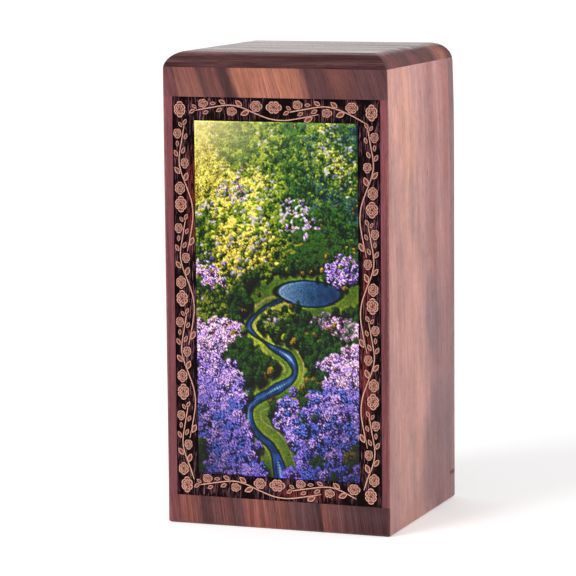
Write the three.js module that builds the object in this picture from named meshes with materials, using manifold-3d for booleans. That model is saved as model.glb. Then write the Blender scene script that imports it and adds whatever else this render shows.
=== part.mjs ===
// A wooden cremation urn box: boards glued up round a hollow chamber, an engraved front panel with a
// border of roses, leaves and vines, and a base plate held from below by four brass screws.
// Millimetres, +Z up, +X to the right of someone facing the front, the front towards -Y.
// The origin is the middle of the underside.
import * as THREE from "three";
import { mergeVertices } from "three/addons/utils/BufferGeometryUtils.js";
import Module from "manifold-3d";

const wasm = await Module();
wasm.setup();

// Driving dimensions of the case
const caseWidth = 142;
const caseDepth = 127;
const wallHeight = 276;
const topThickness = 9.5;
const frontThickness = 10;
const backThickness = 10;
const sideThickness = 10;

// Rounding of the outside
const leftShoulderRadius = 15;
const rightShoulderRadius = 12.5;
const rightShoulderLean = 1.2;
const rightLeanHeight = 62;
const frontTopRadius = 8.5;
const backTopRadius = 8.5;
const footEase = 2;
const edgeEase = 1;

// Front: two rails with the engraved panel between them
const topRailHeight = 17.5;
const bottomRailHeight = 17.5;
const leftMargin = 6;
const rightMargin = 5.2;
const borderWidth = 14.1;
const engravingDepth = 0.7;

// Base plate and its screws
const plateThickness = 6;
const rebateWidth = 6;
const plateClearance = 0.4;
const screwHeadRadius = 2.4;
const screwShankRadius = 1.1;
const screwLength = 14;
const screwRecess = 0.3;
const screwSlotWidth = 0.7;
const screwSlotDepth = 0.5;
const screwClearance = 0.3;
const screwEdgeDistance = 3.4;
const screwEndDistance = 24;

// Ornament of the border. A module starts at a large rose and runs along the border.
const moduleLength = 56.75;
const sideModules = 4;
const endModules = 2;
const sideStart = 7.6;
const endStart = 4.8;
const endOverrun = 6.5;
const lengthKept = 0.6;
const vineWidth = 1;
const vineSteps = 18;
const petalPoints = [[0, 0.84], [0.3, 1], [0.7, 1]];
const cornerRoseDrop = 7.1;
const leftStripShift = 0.8;
const bottomStripRise = 0.7;
const lastModuleSlack = 1.2;

// Where each flower of a module sits: along it from the large rose, and in from the outer edge
const largeRose = { along: 0, inset: 5.5, length: 9.8, width: 7.2, petals: 6 };
const roses = [
  { along: 14.4, inset: 3.8, length: 6.3, width: 5.2, petals: 5 },
  { along: 32.1, inset: 8.3, length: 6.5, width: 5.2, petals: 5 },
  { along: 47.1, inset: 5, length: 7.8, width: 6.6, petals: 6 },
];

// Leaves: base and tip, each along the module and in from the outer edge
const leaves = [
  { base: [10.7, 6.9], tip: [7.4, 4.6] },
  { base: [9.5, 7.5], tip: [5.6, 9.8] },
  { base: [18.5, 3.8], tip: [22.6, 3.7] },
  { base: [28.4, 3.9], tip: [24.1, 1.6] },
  { base: [18.1, 8.3], tip: [14.1, 10] },
  { base: [26.6, 6.5], tip: [22.4, 8.6] },
  { base: [38.7, 5.2], tip: [34.3, 1.7] },
  { base: [43.1, 7.9], tip: [37.4, 10.3] },
];
const vineEndLeaf = { base: [76.2, 13.6], tip: [81.7, 10.8] };
const leafWidthShare = 0.48;

// The vine's run through a module: along it, and in from the outer edge
const vineRun = [
  [9.5, 8.1], [17.4, 6.6], [29.9, 4.6], [38.2, 6], [46.6, 9.3],
  [54.9, 12.2], [63.2, 13.1], [71.6, 12], [84.9, 9.2],
];
// Where the last vine of a strip stops short: how much of the run it keeps, and its closing point
const lastSideVine = { keep: 5, close: [53.4, 11.6] };
const lastTopVine = { keep: 5, close: [56.2, 14.4] };
const lastBottomVine = { keep: 4, close: [48.3, 10.6] };

// Places worked out from the dimensions
const halfWidth = caseWidth / 2;
const halfDepth = caseDepth / 2;
const caseHeight = wallHeight + topThickness;
const frontFace = -halfDepth;
const frontInside = frontFace + frontThickness;
const backInside = halfDepth - backThickness;
const sideInside = halfWidth - sideThickness;
const panelBottom = bottomRailHeight;
const panelTop = wallHeight - topRailHeight;
const panelHeight = panelTop - panelBottom;
const engravedLeft = -halfWidth + leftMargin;
const engravedRight = halfWidth - rightMargin;
const engravedWidth = engravedRight - engravedLeft;
const beyond = 5;

// Turns a closed geometry into a solid that can be joined and cut
function solidOf(geometry) {
  const bare = geometry.clone();
  bare.deleteAttribute("normal");
  bare.deleteAttribute("uv");
  const merged = mergeVertices(bare, 1e-5);
  const index = merged.index.array;
  const kept = [];
  for (let i = 0; i < index.length; i += 3) {
    const [a, b, c] = [index[i], index[i + 1], index[i + 2]];
    if (a !== b && b !== c && c !== a) kept.push(a, b, c);
  }
  return new wasm.Manifold(
    new wasm.Mesh({
      numProp: 3,
      vertProperties: new Float32Array(merged.attributes.position.array),
      triVerts: new Uint32Array(kept),
    }),
  );
}

// Turns a solid back into a geometry with flat-shaded faces
function geometryOf(solid) {
  const mesh = solid.getMesh();
  const geometry = new THREE.BufferGeometry();
  geometry.setAttribute("position", new THREE.BufferAttribute(mesh.vertProperties, 3));
  geometry.setIndex(new THREE.BufferAttribute(mesh.triVerts, 1));
  geometry.computeVertexNormals();
  return geometry;
}

// A block between two corners
function block(x0, x1, y0, y1, z0, z1) {
  const box = new THREE.BoxGeometry(x1 - x0, y1 - y0, z1 - z0);
  box.translate((x0 + x1) / 2, (y0 + y1) / 2, (z0 + z1) / 2);
  return solidOf(box);
}

// An outline drawn as (x, z) and carried through from one depth to another
function throughDepth(outline, y0, y1, curveSegments = 6) {
  const options = { depth: y1 - y0, bevelEnabled: false, curveSegments };
  const geometry = new THREE.ExtrudeGeometry(outline, options);
  geometry.rotateX(Math.PI / 2);
  geometry.translate(0, y1, 0);
  return solidOf(geometry);
}

// The case seen from the front: two rounded shoulders, the right one sanded in further down
function frontOutline() {
  const s = new THREE.Shape();
  const shoulder = caseHeight - rightShoulderRadius;
  const lean = rightShoulderLean;
  s.moveTo(-halfWidth + footEase, 0);
  s.lineTo(halfWidth - footEase, 0);
  s.quadraticCurveTo(halfWidth, 0, halfWidth, footEase);
  s.lineTo(halfWidth, shoulder - rightLeanHeight);
  s.quadraticCurveTo(halfWidth, shoulder - rightLeanHeight / 2, halfWidth - lean, shoulder);
  s.absarc(halfWidth - lean - rightShoulderRadius, shoulder, rightShoulderRadius, 0, Math.PI / 2);
  s.lineTo(-halfWidth + leftShoulderRadius, caseHeight);
  const leftMiddle = -halfWidth + leftShoulderRadius;
  const leftShoulder = caseHeight - leftShoulderRadius;
  s.absarc(leftMiddle, leftShoulder, leftShoulderRadius, Math.PI / 2, Math.PI);
  s.lineTo(-halfWidth, footEase);
  s.quadraticCurveTo(-halfWidth, 0, -halfWidth + footEase, 0);
  return s;
}

// The case seen from the side, as (depth, height)
function sideOutline() {
  const s = new THREE.Shape();
  s.moveTo(-halfDepth + footEase, 0);
  s.lineTo(halfDepth - footEase, 0);
  s.quadraticCurveTo(halfDepth, 0, halfDepth, footEase);
  s.lineTo(halfDepth, caseHeight - backTopRadius);
  s.absarc(halfDepth - backTopRadius, caseHeight - backTopRadius, backTopRadius, 0, Math.PI / 2);
  s.lineTo(-halfDepth + frontTopRadius, caseHeight);
  const frontMiddle = -halfDepth + frontTopRadius;
  s.absarc(frontMiddle, caseHeight - frontTopRadius, frontTopRadius, Math.PI / 2, Math.PI);
  s.lineTo(-halfDepth, footEase);
  s.quadraticCurveTo(-halfDepth, 0, -halfDepth + footEase, 0);
  return s;
}

// The case seen from above, with its upright edges eased
function planOutline() {
  const s = new THREE.Shape();
  const [w, d, e] = [halfWidth, halfDepth, edgeEase];
  s.moveTo(-w + e, -d);
  s.lineTo(w - e, -d);
  s.quadraticCurveTo(w, -d, w, -d + e);
  s.lineTo(w, d - e);
  s.quadraticCurveTo(w, d, w - e, d);
  s.lineTo(-w + e, d);
  s.quadraticCurveTo(-w, d, -w, d - e);
  s.lineTo(-w, -d + e);
  s.quadraticCurveTo(-w, -d, -w + e, -d);
  return s;
}

// The whole outside of the box as one rounded block, which every outer board is cut from
function caseBlank() {
  const fromFront = throughDepth(frontOutline(), -halfDepth, halfDepth, 6);
  const fromSide = new THREE.ExtrudeGeometry(sideOutline(), {
    depth: caseWidth,
    bevelEnabled: false,
    curveSegments: 5,
  });
  fromSide.rotateX(Math.PI / 2);
  fromSide.rotateZ(Math.PI / 2);
  fromSide.translate(-halfWidth, 0, 0);
  const fromAbove = new THREE.ExtrudeGeometry(planOutline(), {
    depth: caseHeight,
    bevelEnabled: false,
    curveSegments: 3,
  });
  return fromFront.intersect(solidOf(fromSide)).intersect(solidOf(fromAbove));
}

const blank = caseBlank();

// The rebate round the foot of the walls that the base plate sits in
const rebate = block(
  -sideInside - rebateWidth, sideInside + rebateWidth,
  frontInside - rebateWidth, backInside + rebateWidth,
  -beyond, plateThickness,
);

// Cuts one board out of the rounded blank and lets the base rebate into it
function board(x0, x1, y0, y1, z0, z1) {
  return blank.intersect(block(x0, x1, y0, y1, z0, z1)).subtract(rebate);
}

// What lies on one side of the mitre at a front corner: the front boards' share or the side's
function mitreWaste(side, share) {
  const inner = [side * sideInside, frontInside];
  const outer = [side * (sideInside + 2 * sideThickness), frontInside - 2 * frontThickness];
  const third = share === "front" ? [inner[0], outer[1]] : [outer[0], inner[1]];
  const prism = new THREE.ExtrudeGeometry(outlineOf([inner, outer, third]), {
    depth: caseHeight + 2 * beyond,
    bevelEnabled: false,
  });
  prism.translate(0, 0, -beyond);
  return solidOf(prism);
}

// A board across the front, mitred at both ends
function frontBoard(z0, z1) {
  const square = board(-halfWidth, halfWidth, frontFace, frontInside, z0, z1);
  return square.subtract(mitreWaste(-1, "side")).subtract(mitreWaste(1, "side"));
}

// A side board, mitred along its front edge and butted against the back
function sideBoard(side) {
  const [x0, x1] = side < 0 ? [-halfWidth, -sideInside] : [sideInside, halfWidth];
  const square = board(x0, x1, frontFace, backInside, 0, wallHeight);
  return square.subtract(mitreWaste(side, "front"));
}

// A screw: its countersunk head, tapered to the shank, with a slot across the head
function screwSolid(clearance) {
  const head = screwHeadRadius + clearance;
  const shank = screwShankRadius + clearance;
  const tip = screwLength + clearance;
  const start = clearance > 0 ? -beyond : screwRecess;
  const profile = [
    new THREE.Vector2(0, start),
    new THREE.Vector2(head, start),
    new THREE.Vector2(head, screwRecess),
    new THREE.Vector2(shank, screwRecess + head - shank),
    new THREE.Vector2(shank, tip - shank),
    new THREE.Vector2(0, tip),
  ];
  const points = clearance > 0 ? profile : profile.filter((_, i) => i !== 2);
  const lathe = new THREE.LatheGeometry(points, 16);
  lathe.rotateX(Math.PI / 2);
  lathe.scale(1, -1, 1);
  const flipped = lathe.index.array;
  for (let i = 0; i < flipped.length; i += 3) {
    [flipped[i + 1], flipped[i + 2]] = [flipped[i + 2], flipped[i + 1]];
  }
  return solidOf(lathe);
}

function slottedScrew() {
  const slot = block(
    -screwHeadRadius - 1, screwHeadRadius + 1,
    -screwSlotWidth / 2, screwSlotWidth / 2,
    0, screwRecess + screwSlotDepth,
  );
  return screwSolid(0).subtract(slot);
}

const screwX = sideInside + rebateWidth - plateClearance - screwEdgeDistance;
const screwPlaces = [
  { name: "front_left", x: -screwX, y: frontInside + screwEndDistance },
  { name: "front_right", x: screwX, y: frontInside + screwEndDistance },
  { name: "back_left", x: -screwX, y: backInside - screwEndDistance },
  { name: "back_right", x: screwX, y: backInside - screwEndDistance },
];

// Drills a solid for every screw
function drilled(solid) {
  const pocket = screwSolid(screwClearance);
  return screwPlaces.reduce((left, s) => left.subtract(pocket.translate([s.x, s.y, 0])), solid);
}

// A strip of the border: turns a place on it, (along, inset), into (x, z) on the front face
function rightStrip(along, inset) {
  return [engravedRight - inset, panelTop - along];
}
function leftStrip(along, inset) {
  return [engravedLeft + inset - leftStripShift, panelTop - along];
}
function topStrip(along, inset) {
  return [engravedLeft + along, panelTop - inset];
}
function bottomStrip(along, inset) {
  return [engravedLeft + along, panelBottom + borderWidth + bottomStripRise - inset];
}

// An outline from points, always drawn anticlockwise
function outlineOf(points) {
  const vectors = points.map(([x, z]) => new THREE.Vector2(x, z));
  if (THREE.ShapeUtils.isClockWise(vectors)) vectors.reverse();
  return new THREE.Shape(vectors);
}

// A rose from the front: an oval rim of petals, each a share of the turn with a dip before it
function roseOutline(place, along, rose) {
  const points = [];
  for (let petal = 0; petal < rose.petals; petal++) {
    for (const [share, reach] of petalPoints) {
      const turn = (2 * Math.PI * (petal + share - 0.5)) / rose.petals;
      const forward = (rose.length / 2) * Math.cos(turn) * reach;
      const aside = (rose.width / 2) * Math.sin(turn) * reach;
      points.push(place(along + forward, rose.inset + aside));
    }
  }
  return outlineOf(points);
}

// A leaf: pointed at both ends, widest a little nearer its base
function leafOutline(place, base, tip) {
  const [dx, dy] = [tip[0] - base[0], tip[1] - base[1]];
  const half = leafWidthShare / 2;
  const at = (share, side) => place(
    base[0] + dx * share - dy * side * half,
    base[1] + dy * share + dx * side * half,
  );
  return outlineOf([at(0, 0), at(0.28, 0.92), at(0.62, 0.86), at(1, 0), at(0.62, -0.86), at(0.28, -0.92)]);
}

// A vine: a band of even width along a smooth curve, narrowed to its tip
function vineOutline(place, run) {
  const curve = new THREE.CatmullRomCurve3(run.map(([a, t]) => new THREE.Vector3(a, t, 0)));
  const [near, far] = [[], []];
  for (let i = 0; i <= vineSteps; i++) {
    const share = i / vineSteps;
    const p = curve.getPoint(share);
    const d = curve.getTangent(share);
    const half = (vineWidth / 2) * Math.min(1, 0.45 + 3 * (1 - share));
    near.push(place(p.x - d.y * half, p.y + d.x * half));
    far.unshift(place(p.x + d.y * half, p.y - d.x * half));
  }
  return outlineOf([...near, ...far]);
}

// The outlines of one strip of the border
function stripOutlines(place, start, length, modules, lastVine, ownLargeRose) {
  const pitch = length / modules;
  const stretch = 1 + lengthKept * (pitch / moduleLength - 1);
  const outlines = [];
  for (let m = 0; m < modules; m++) {
    const origin = start + m * pitch;
    const last = m === modules - 1;
    const put = (a, t) => place(origin + a * stretch, t);
    if (ownLargeRose || m > 0) outlines.push(roseOutline(put, 0, largeRose));
    for (const rose of roses) outlines.push(roseOutline(put, rose.along, rose));
    for (const leaf of leaves) outlines.push(leafOutline(put, leaf.base, leaf.tip));
    if (!last) outlines.push(leafOutline(put, vineEndLeaf.base, vineEndLeaf.tip));
    const run = last ? [...vineRun.slice(0, lastVine.keep), lastVine.close] : vineRun;
    outlines.push(vineOutline(put, run));
  }
  return outlines;
}

// Everything that is left standing in the engraved ground, from the outline of each flower and leaf
function ornamentOutlines() {
  const sideLength = panelHeight - 2 * sideStart + lastModuleSlack;
  const endLength = engravedWidth - endStart - endOverrun;
  const corner = { ...largeRose, inset: cornerRoseDrop };
  const outlines = [
    ...stripOutlines(rightStrip, sideStart, sideLength, sideModules, lastSideVine, true),
    ...stripOutlines(leftStrip, sideStart, sideLength, sideModules, lastSideVine, true),
    ...stripOutlines(topStrip, endStart, endLength, endModules, lastTopVine, false),
    ...stripOutlines(bottomStrip, endStart, endLength, endModules, lastBottomVine, false),
  ];
  for (const strip of [rightStrip, leftStrip]) {
    outlines.push(roseOutline(strip, sideStart + sideLength, corner));
  }
  return outlines;
}

// The panel: the ground is cut away round the ornament and the picture field, which stay at the surface
function engravedPanel() {
  const ground = frontFace + engravingDepth;
  const standing = [
    block(engravedLeft + borderWidth, engravedRight - borderWidth, frontFace - 2 * beyond,
      ground + beyond, panelBottom + borderWidth, panelTop - borderWidth),
    ...ornamentOutlines().map((o) => throughDepth(o, frontFace - 2 * beyond, ground + beyond, 1)),
  ];
  const kept = standing.reduce((all, one) => all.add(one));
  const waste = block(engravedLeft, engravedRight, frontFace - beyond, ground,
    panelBottom - beyond, panelTop + beyond);
  return frontBoard(panelBottom, panelTop).subtract(waste.subtract(kept));
}

const urn = new THREE.Group();

// Adds a piece to the urn under its own name, with its own colour
function addPiece(name, solid, color, roughness = 0.45, metalness = 0) {
  const material = new THREE.MeshStandardMaterial({ color, roughness, metalness });
  const mesh = new THREE.Mesh(geometryOf(solid), material);
  mesh.name = name;
  urn.add(mesh);
  return mesh;
}

const [w, d] = [halfWidth, halfDepth];
const topBoard = board(-w, w, -d, d, wallHeight, caseHeight);
const backBoard = board(-w, w, backInside, d, 0, wallHeight);
const plateReach = rebateWidth - plateClearance;
const basePlate = block(
  -sideInside - plateReach, sideInside + plateReach,
  frontInside - plateReach, backInside + plateReach,
  0, plateThickness,
);

addPiece("top_board", topBoard, 0x6d4a4e, 0.4);
addPiece("front_top_rail", frontBoard(panelTop, wallHeight), 0xa06a52);
addPiece("front_panel", engravedPanel(), 0x7f4a4a);
addPiece("front_bottom_rail", frontBoard(0, panelBottom), 0x6b4340);
addPiece("side_left", drilled(sideBoard(-1)), 0xb08074);
addPiece("side_right", drilled(sideBoard(1)), 0xb98a7c);
addPiece("back_board", backBoard, 0xa0705f);
addPiece("base_plate", drilled(basePlate), 0x8a5f50, 0.6);

for (const { name, x, y } of screwPlaces) {
  const screw = addPiece(`base_screw_${name}`, slottedScrew(), 0xc9a24b, 0.35, 1);
  screw.position.set(x, y, 0);
}

export default urn;
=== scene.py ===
"""The looks of a wooden cremation urn box, dressed on its fixed CAD frame.

Each sub-assembly is a class: the case of rosewood boards, the engraved and printed front panel, the
base with its screws, and the studio they stand in. Each finish is a frozen dataclass. The file
counts in metres unless a docstring says millimetres. +Z is up, the engraved front faces -Y, and the
origin is the middle of the underside.
"""

import logging
import math
from dataclasses import dataclass, field
from enum import Enum
from typing import Callable, Sequence

import bmesh
import bpy
import numpy as np
from mathutils import Matrix, Vector


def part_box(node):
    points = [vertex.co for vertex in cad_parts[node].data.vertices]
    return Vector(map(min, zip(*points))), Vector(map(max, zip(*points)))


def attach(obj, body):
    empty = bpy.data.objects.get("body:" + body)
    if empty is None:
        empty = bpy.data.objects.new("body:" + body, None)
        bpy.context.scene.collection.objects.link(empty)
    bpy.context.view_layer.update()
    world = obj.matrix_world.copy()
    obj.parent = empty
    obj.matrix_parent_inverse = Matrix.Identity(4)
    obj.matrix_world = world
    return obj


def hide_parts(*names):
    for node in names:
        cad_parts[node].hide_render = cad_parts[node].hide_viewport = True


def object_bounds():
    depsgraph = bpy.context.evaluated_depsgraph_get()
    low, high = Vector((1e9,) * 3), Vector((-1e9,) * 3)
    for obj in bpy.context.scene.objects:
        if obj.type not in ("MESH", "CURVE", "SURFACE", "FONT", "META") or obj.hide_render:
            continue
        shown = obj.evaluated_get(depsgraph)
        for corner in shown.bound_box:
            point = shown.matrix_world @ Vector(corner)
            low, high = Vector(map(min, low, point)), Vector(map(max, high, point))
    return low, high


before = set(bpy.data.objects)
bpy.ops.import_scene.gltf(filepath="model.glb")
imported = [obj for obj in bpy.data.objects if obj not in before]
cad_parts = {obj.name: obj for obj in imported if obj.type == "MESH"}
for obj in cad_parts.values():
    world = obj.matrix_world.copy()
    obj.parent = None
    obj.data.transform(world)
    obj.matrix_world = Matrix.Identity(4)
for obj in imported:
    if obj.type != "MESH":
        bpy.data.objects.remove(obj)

MM = 0.001
CAD_LOW, CAD_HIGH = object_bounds()
TOP_MM = CAD_HIGH.z / MM
LOG = logging.getLogger("urn")
STRAIGHT = 0.999
FACING = 0.9
FLAT_ANGLE = math.radians(0.05)
EDGE_ANGLE = math.radians(40)
WHITE = (1.0, 1.0, 1.0)

Point = tuple[float, float]
Colour = tuple[float, float, float]
Place = Callable[[float, float], Point]
Canvas = np.ndarray
Mesh = bmesh.types.BMesh
Thing = bpy.types.Object
Node = bpy.types.Node


class Axis(Enum):
    """The three axes of the frame, as indices into a vector."""

    X = 0
    Y = 1
    Z = 2


class Cut(Enum):
    """What a cut leaves of an object, as the name of Blender's operation."""

    OUTSIDE = "DIFFERENCE"
    INSIDE = "INTERSECT"


class Slot(Enum):
    """The material slots of the panel's mesh, in order."""

    WOOD = 0
    GROUND = 1
    PETAL = 2
    CUT = 3
    PICTURE = 4
    HOLLOW = 5


def linear(shares: Canvas | float) -> Canvas:
    """Turns shares of full sRGB brightness into linear ones."""
    return np.where(shares <= 0.04045, shares / 12.92, ((shares + 0.055) / 1.055) ** 2.4)


def srgb(*parts: int) -> Colour:
    """Turns a red, green and blue of 0 to 255 into the linear values of Blender's sockets."""
    return tuple(float(linear(part / 255)) for part in parts)


# Meshes


def add_object(name: str, data: bpy.types.ID) -> Thing:
    """Adds an object to the scene.

    Args:
        name: The object's name.
        data: Its mesh, curve, light or camera.

    Returns:
        The new object, at the origin.
    """
    thing = bpy.data.objects.new(name, data)
    bpy.context.scene.collection.objects.link(thing)
    return thing


def new_object(name: str, shape: Mesh) -> Thing:
    """Makes a scene object of a bmesh and frees the bmesh.

    Args:
        name: The piece's name.
        shape: The mesh to hand over.

    Returns:
        The new object, at the origin.
    """
    mesh = bpy.data.meshes.new(name)
    shape.to_mesh(mesh)
    shape.free()
    return add_object(name, mesh)


def opened(piece: Thing) -> Mesh:
    """Gives a bmesh of a piece, to be changed and closed again.

    Args:
        piece: The piece to change.

    Returns:
        Its bmesh.
    """
    shape = bmesh.new()
    shape.from_mesh(piece.data)
    return shape


def close(piece: Thing, shape: Mesh) -> None:
    """Writes a changed bmesh back into its piece and frees it."""
    shape.to_mesh(piece.data)
    shape.free()


def block(low: Sequence[float], high: Sequence[float]) -> Mesh:
    """Makes a rectangular block.

    Args:
        low: Its lowest corner.
        high: Its highest corner.

    Returns:
        The block as a bmesh.
    """
    shape = bmesh.new()
    bmesh.ops.create_cube(shape, size=1.0)
    lowest, highest = Vector(low), Vector(high)
    bmesh.ops.scale(shape, vec=highest - lowest, verts=shape.verts)
    bmesh.ops.translate(shape, vec=(lowest + highest) / 2, verts=shape.verts)
    return shape


def runs_along(edge: bmesh.types.BMEdge, axis: Axis) -> bool:
    """Tells whether an edge runs along an axis."""
    line = edge.verts[1].co - edge.verts[0].co
    return abs(line[axis.value]) > STRAIGHT * line.length


def round_edge(shape: Mesh, along: Axis, near: Vector, radius: float, segments: int) -> None:
    """Rounds the one edge that runs along an axis nearest to a point.

    Args:
        shape: The block to round.
        along: The axis that the edge runs along.
        near: A point by the edge.
        radius: The rounding's radius.
        segments: How many faces the rounding has.
    """
    def gap(edge: bmesh.types.BMEdge) -> float:
        """Gives the distance from the point to an edge, across the axis."""
        off = (edge.verts[0].co + edge.verts[1].co) / 2 - near
        off[along.value] = 0.0
        return off.length

    edge = min((e for e in shape.edges if runs_along(e, along)), key=gap)
    bmesh.ops.bevel(
        shape, geom=[edge], offset=radius, offset_type="OFFSET", affect="EDGES",
        segments=segments, profile=0.5, material=-1, clamp_overlap=False,
    )


def carve(target: Thing, left: Cut, *tools: Thing) -> None:
    """Cuts one object by others for good, and scraps them.

    Args:
        target: The object that is cut.
        left: Whether what lies outside or inside the others is left.
        *tools: The objects that cut it, one after another.
    """
    for tool in tools:
        cut = target.modifiers.new("cut", "BOOLEAN")
        cut.operation, cut.solver, cut.object = left.value, "EXACT", tool
        bpy.context.view_layer.update()
        graph = bpy.context.evaluated_depsgraph_get()
        mesh = bpy.data.meshes.new_from_object(target.evaluated_get(graph))
        target.modifiers.remove(cut)
        old, target.data = target.data, mesh
        mesh.name = old.name
        bpy.data.meshes.remove(old)
        scrap(tool)


def scrap(tool: Thing) -> None:
    """Removes a tool or blank that isn't a piece of the urn.

    Args:
        tool: The object to remove with its mesh.
    """
    mesh = tool.data
    bpy.data.objects.remove(tool)
    bpy.data.meshes.remove(mesh)


def join_flats(piece: Thing) -> None:
    """Joins the flat faces of a piece that lie in one plane and have one material.

    Args:
        piece: The piece to clean up.
    """
    shape = opened(piece)
    bmesh.ops.dissolve_limit(
        shape, angle_limit=FLAT_ANGLE, verts=shape.verts, edges=shape.edges, delimit={"MATERIAL"}
    )
    close(piece, shape)


def bevel_edges(piece: Thing, width: float) -> None:
    """Softens the sharp edges of a piece.

    Args:
        piece: The piece to soften.
        width: How wide the softened edges are.
    """
    bevel = piece.modifiers.new("eased edges", "BEVEL")
    bevel.width = width
    bevel.segments = 2
    bevel.limit_method = "ANGLE"
    bevel.angle_limit = EDGE_ANGLE


def give(piece: Thing, *materials: bpy.types.Material) -> None:
    """Gives a piece its materials, and clears the empty slots that a cut may have left.

    Args:
        piece: The piece to dress.
        *materials: Its materials, in the order of its slots.
    """
    if piece.data.materials:
        piece.data.materials.clear()
    for material in materials:
        piece.data.materials.append(material)


def place_on_frame(piece: Thing, node: str | None = None) -> None:
    """Lets a piece ride on the frame.

    Args:
        piece: The piece.
        node: The CAD node that it replaces, if any.
    """
    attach(piece, "root")
    if node:
        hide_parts(node)


def report(piece: Thing) -> None:
    """Logs a piece that is ready."""
    LOG.info("%s: %d faces", piece.name, len(piece.data.polygons))


def curve_point(knots: Sequence[Vector], u: float) -> Vector:
    """Gives a point of the smooth curve through the middle two of four knots.

    Args:
        knots: The knot before, the two knots and the knot after.
        u: The share of the way from the second knot to the third.

    Returns:
        The point.
    """
    p0, p1, p2, p3 = knots
    return 0.5 * (
        2 * p1 + (p2 - p0) * u + (2 * p0 - 5 * p1 + 4 * p2 - p3) * u * u
        + (3 * p1 - p0 - 3 * p2 + p3) * u * u * u
    )


@dataclass(frozen=True)
class Rounding:
    """How the outside of the case is rounded, in metres."""

    left_shoulder: float = 15 * MM
    right_shoulder: float = 12.5 * MM
    right_lean: float = 1.2 * MM
    lean_height: float = 62 * MM
    front_top: float = 8.5 * MM
    back_top: float = 8.5 * MM
    foot: float = 2 * MM
    upright: float = 1 * MM
    joint: float = 0.22 * MM
    shoulder_segments: int = 20
    top_segments: int = 14
    ease_segments: int = 4
    lean_cuts: int = 8


@dataclass
class Blank:
    """The whole outside of the case as one rounded block, which each board is cut from."""

    rounding: Rounding = Rounding()
    over: float = 6 * MM

    def lean_in(self, shape: Mesh) -> None:
        """Sands the right side in towards its shoulder.

        Args:
            shape: The block seen from the front, before its shoulder is rounded.
        """
        r = self.rounding
        start = CAD_HIGH.z - r.right_shoulder - r.lean_height
        for step in range(r.lean_cuts + 1):
            height = start + r.lean_height * step / r.lean_cuts
            everything = [*shape.verts, *shape.edges, *shape.faces]
            bmesh.ops.bisect_plane(
                shape, geom=everything, plane_co=(0, 0, height), plane_no=(0, 0, 1)
            )
        for vert in shape.verts:
            if vert.co.x > 0 and vert.co.z > start:
                share = min(1.0, (vert.co.z - start) / r.lean_height)
                vert.co.x -= r.right_lean * share * share

    def view(self, along: Axis, roundings: Sequence[tuple[Vector, float, int]]) -> Thing:
        """Makes the block with the outline of one view, longer than the case along that view.

        Args:
            along: The axis that the view looks along.
            roundings: A point by each edge to round, its radius and its number of faces.

        Returns:
            The rounded block.
        """
        reach = Vector((0, 0, 0))
        reach[along.value] = self.over
        shape = block(CAD_LOW - reach, CAD_HIGH + reach)
        if along is Axis.Y:
            self.lean_in(shape)
        for near, radius, segments in roundings:
            round_edge(shape, along, near, radius, segments)
        return new_object("blank", shape)

    def build(self) -> Thing:
        """Joins the views from the front, the side and above into the rounded block.

        Returns:
            The rounded block.
        """
        low, high, r = CAD_LOW, CAD_HIGH, self.rounding
        ends = ((low.x, r.left_shoulder), (high.x, r.right_shoulder))
        faces = ((low.y, r.front_top), (high.y, r.back_top))
        front = [(Vector((x, 0, high.z)), radius, r.shoulder_segments) for x, radius in ends]
        front += [(Vector((x, 0, low.z)), r.foot, r.ease_segments) for x, _ in ends]
        side = [(Vector((0, y, high.z)), radius, r.top_segments) for y, radius in faces]
        side += [(Vector((0, y, low.z)), r.foot, r.ease_segments) for y, _ in faces]
        above = [(Vector((x, y, 0)), r.upright, r.ease_segments) for x, _ in ends for y, _ in faces]
        blank = self.view(Axis.Y, front)
        carve(blank, Cut.INSIDE, self.view(Axis.X, side), self.view(Axis.Z, above))
        return blank


# Finishes


class Value:
    """A socket that can be reckoned with as a number can, by Math nodes in its tree."""

    def __init__(self, graph: "Graph", socket: bpy.types.NodeSocket) -> None:
        """Takes the graph and the socket."""
        self.graph, self.socket = graph, socket

    def __add__(self, other: object) -> "Value":
        """Adds a number or value."""
        return self.graph.sums("ADD", self, other)

    def __sub__(self, other: object) -> "Value":
        """Takes a number or value away."""
        return self.graph.sums("SUBTRACT", self, other)

    def __rsub__(self, other: object) -> "Value":
        """Takes this value away from a number."""
        return self.graph.sums("SUBTRACT", other, self)

    def __mul__(self, other: object) -> "Value":
        """Multiplies by a number or value."""
        return self.graph.sums("MULTIPLY", self, other)

    def __truediv__(self, other: object) -> "Value":
        """Divides by a number or value."""
        return self.graph.sums("DIVIDE", self, other)

    def __abs__(self) -> "Value":
        """Drops the sign."""
        return self.graph.sums("ABSOLUTE", self)


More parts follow.
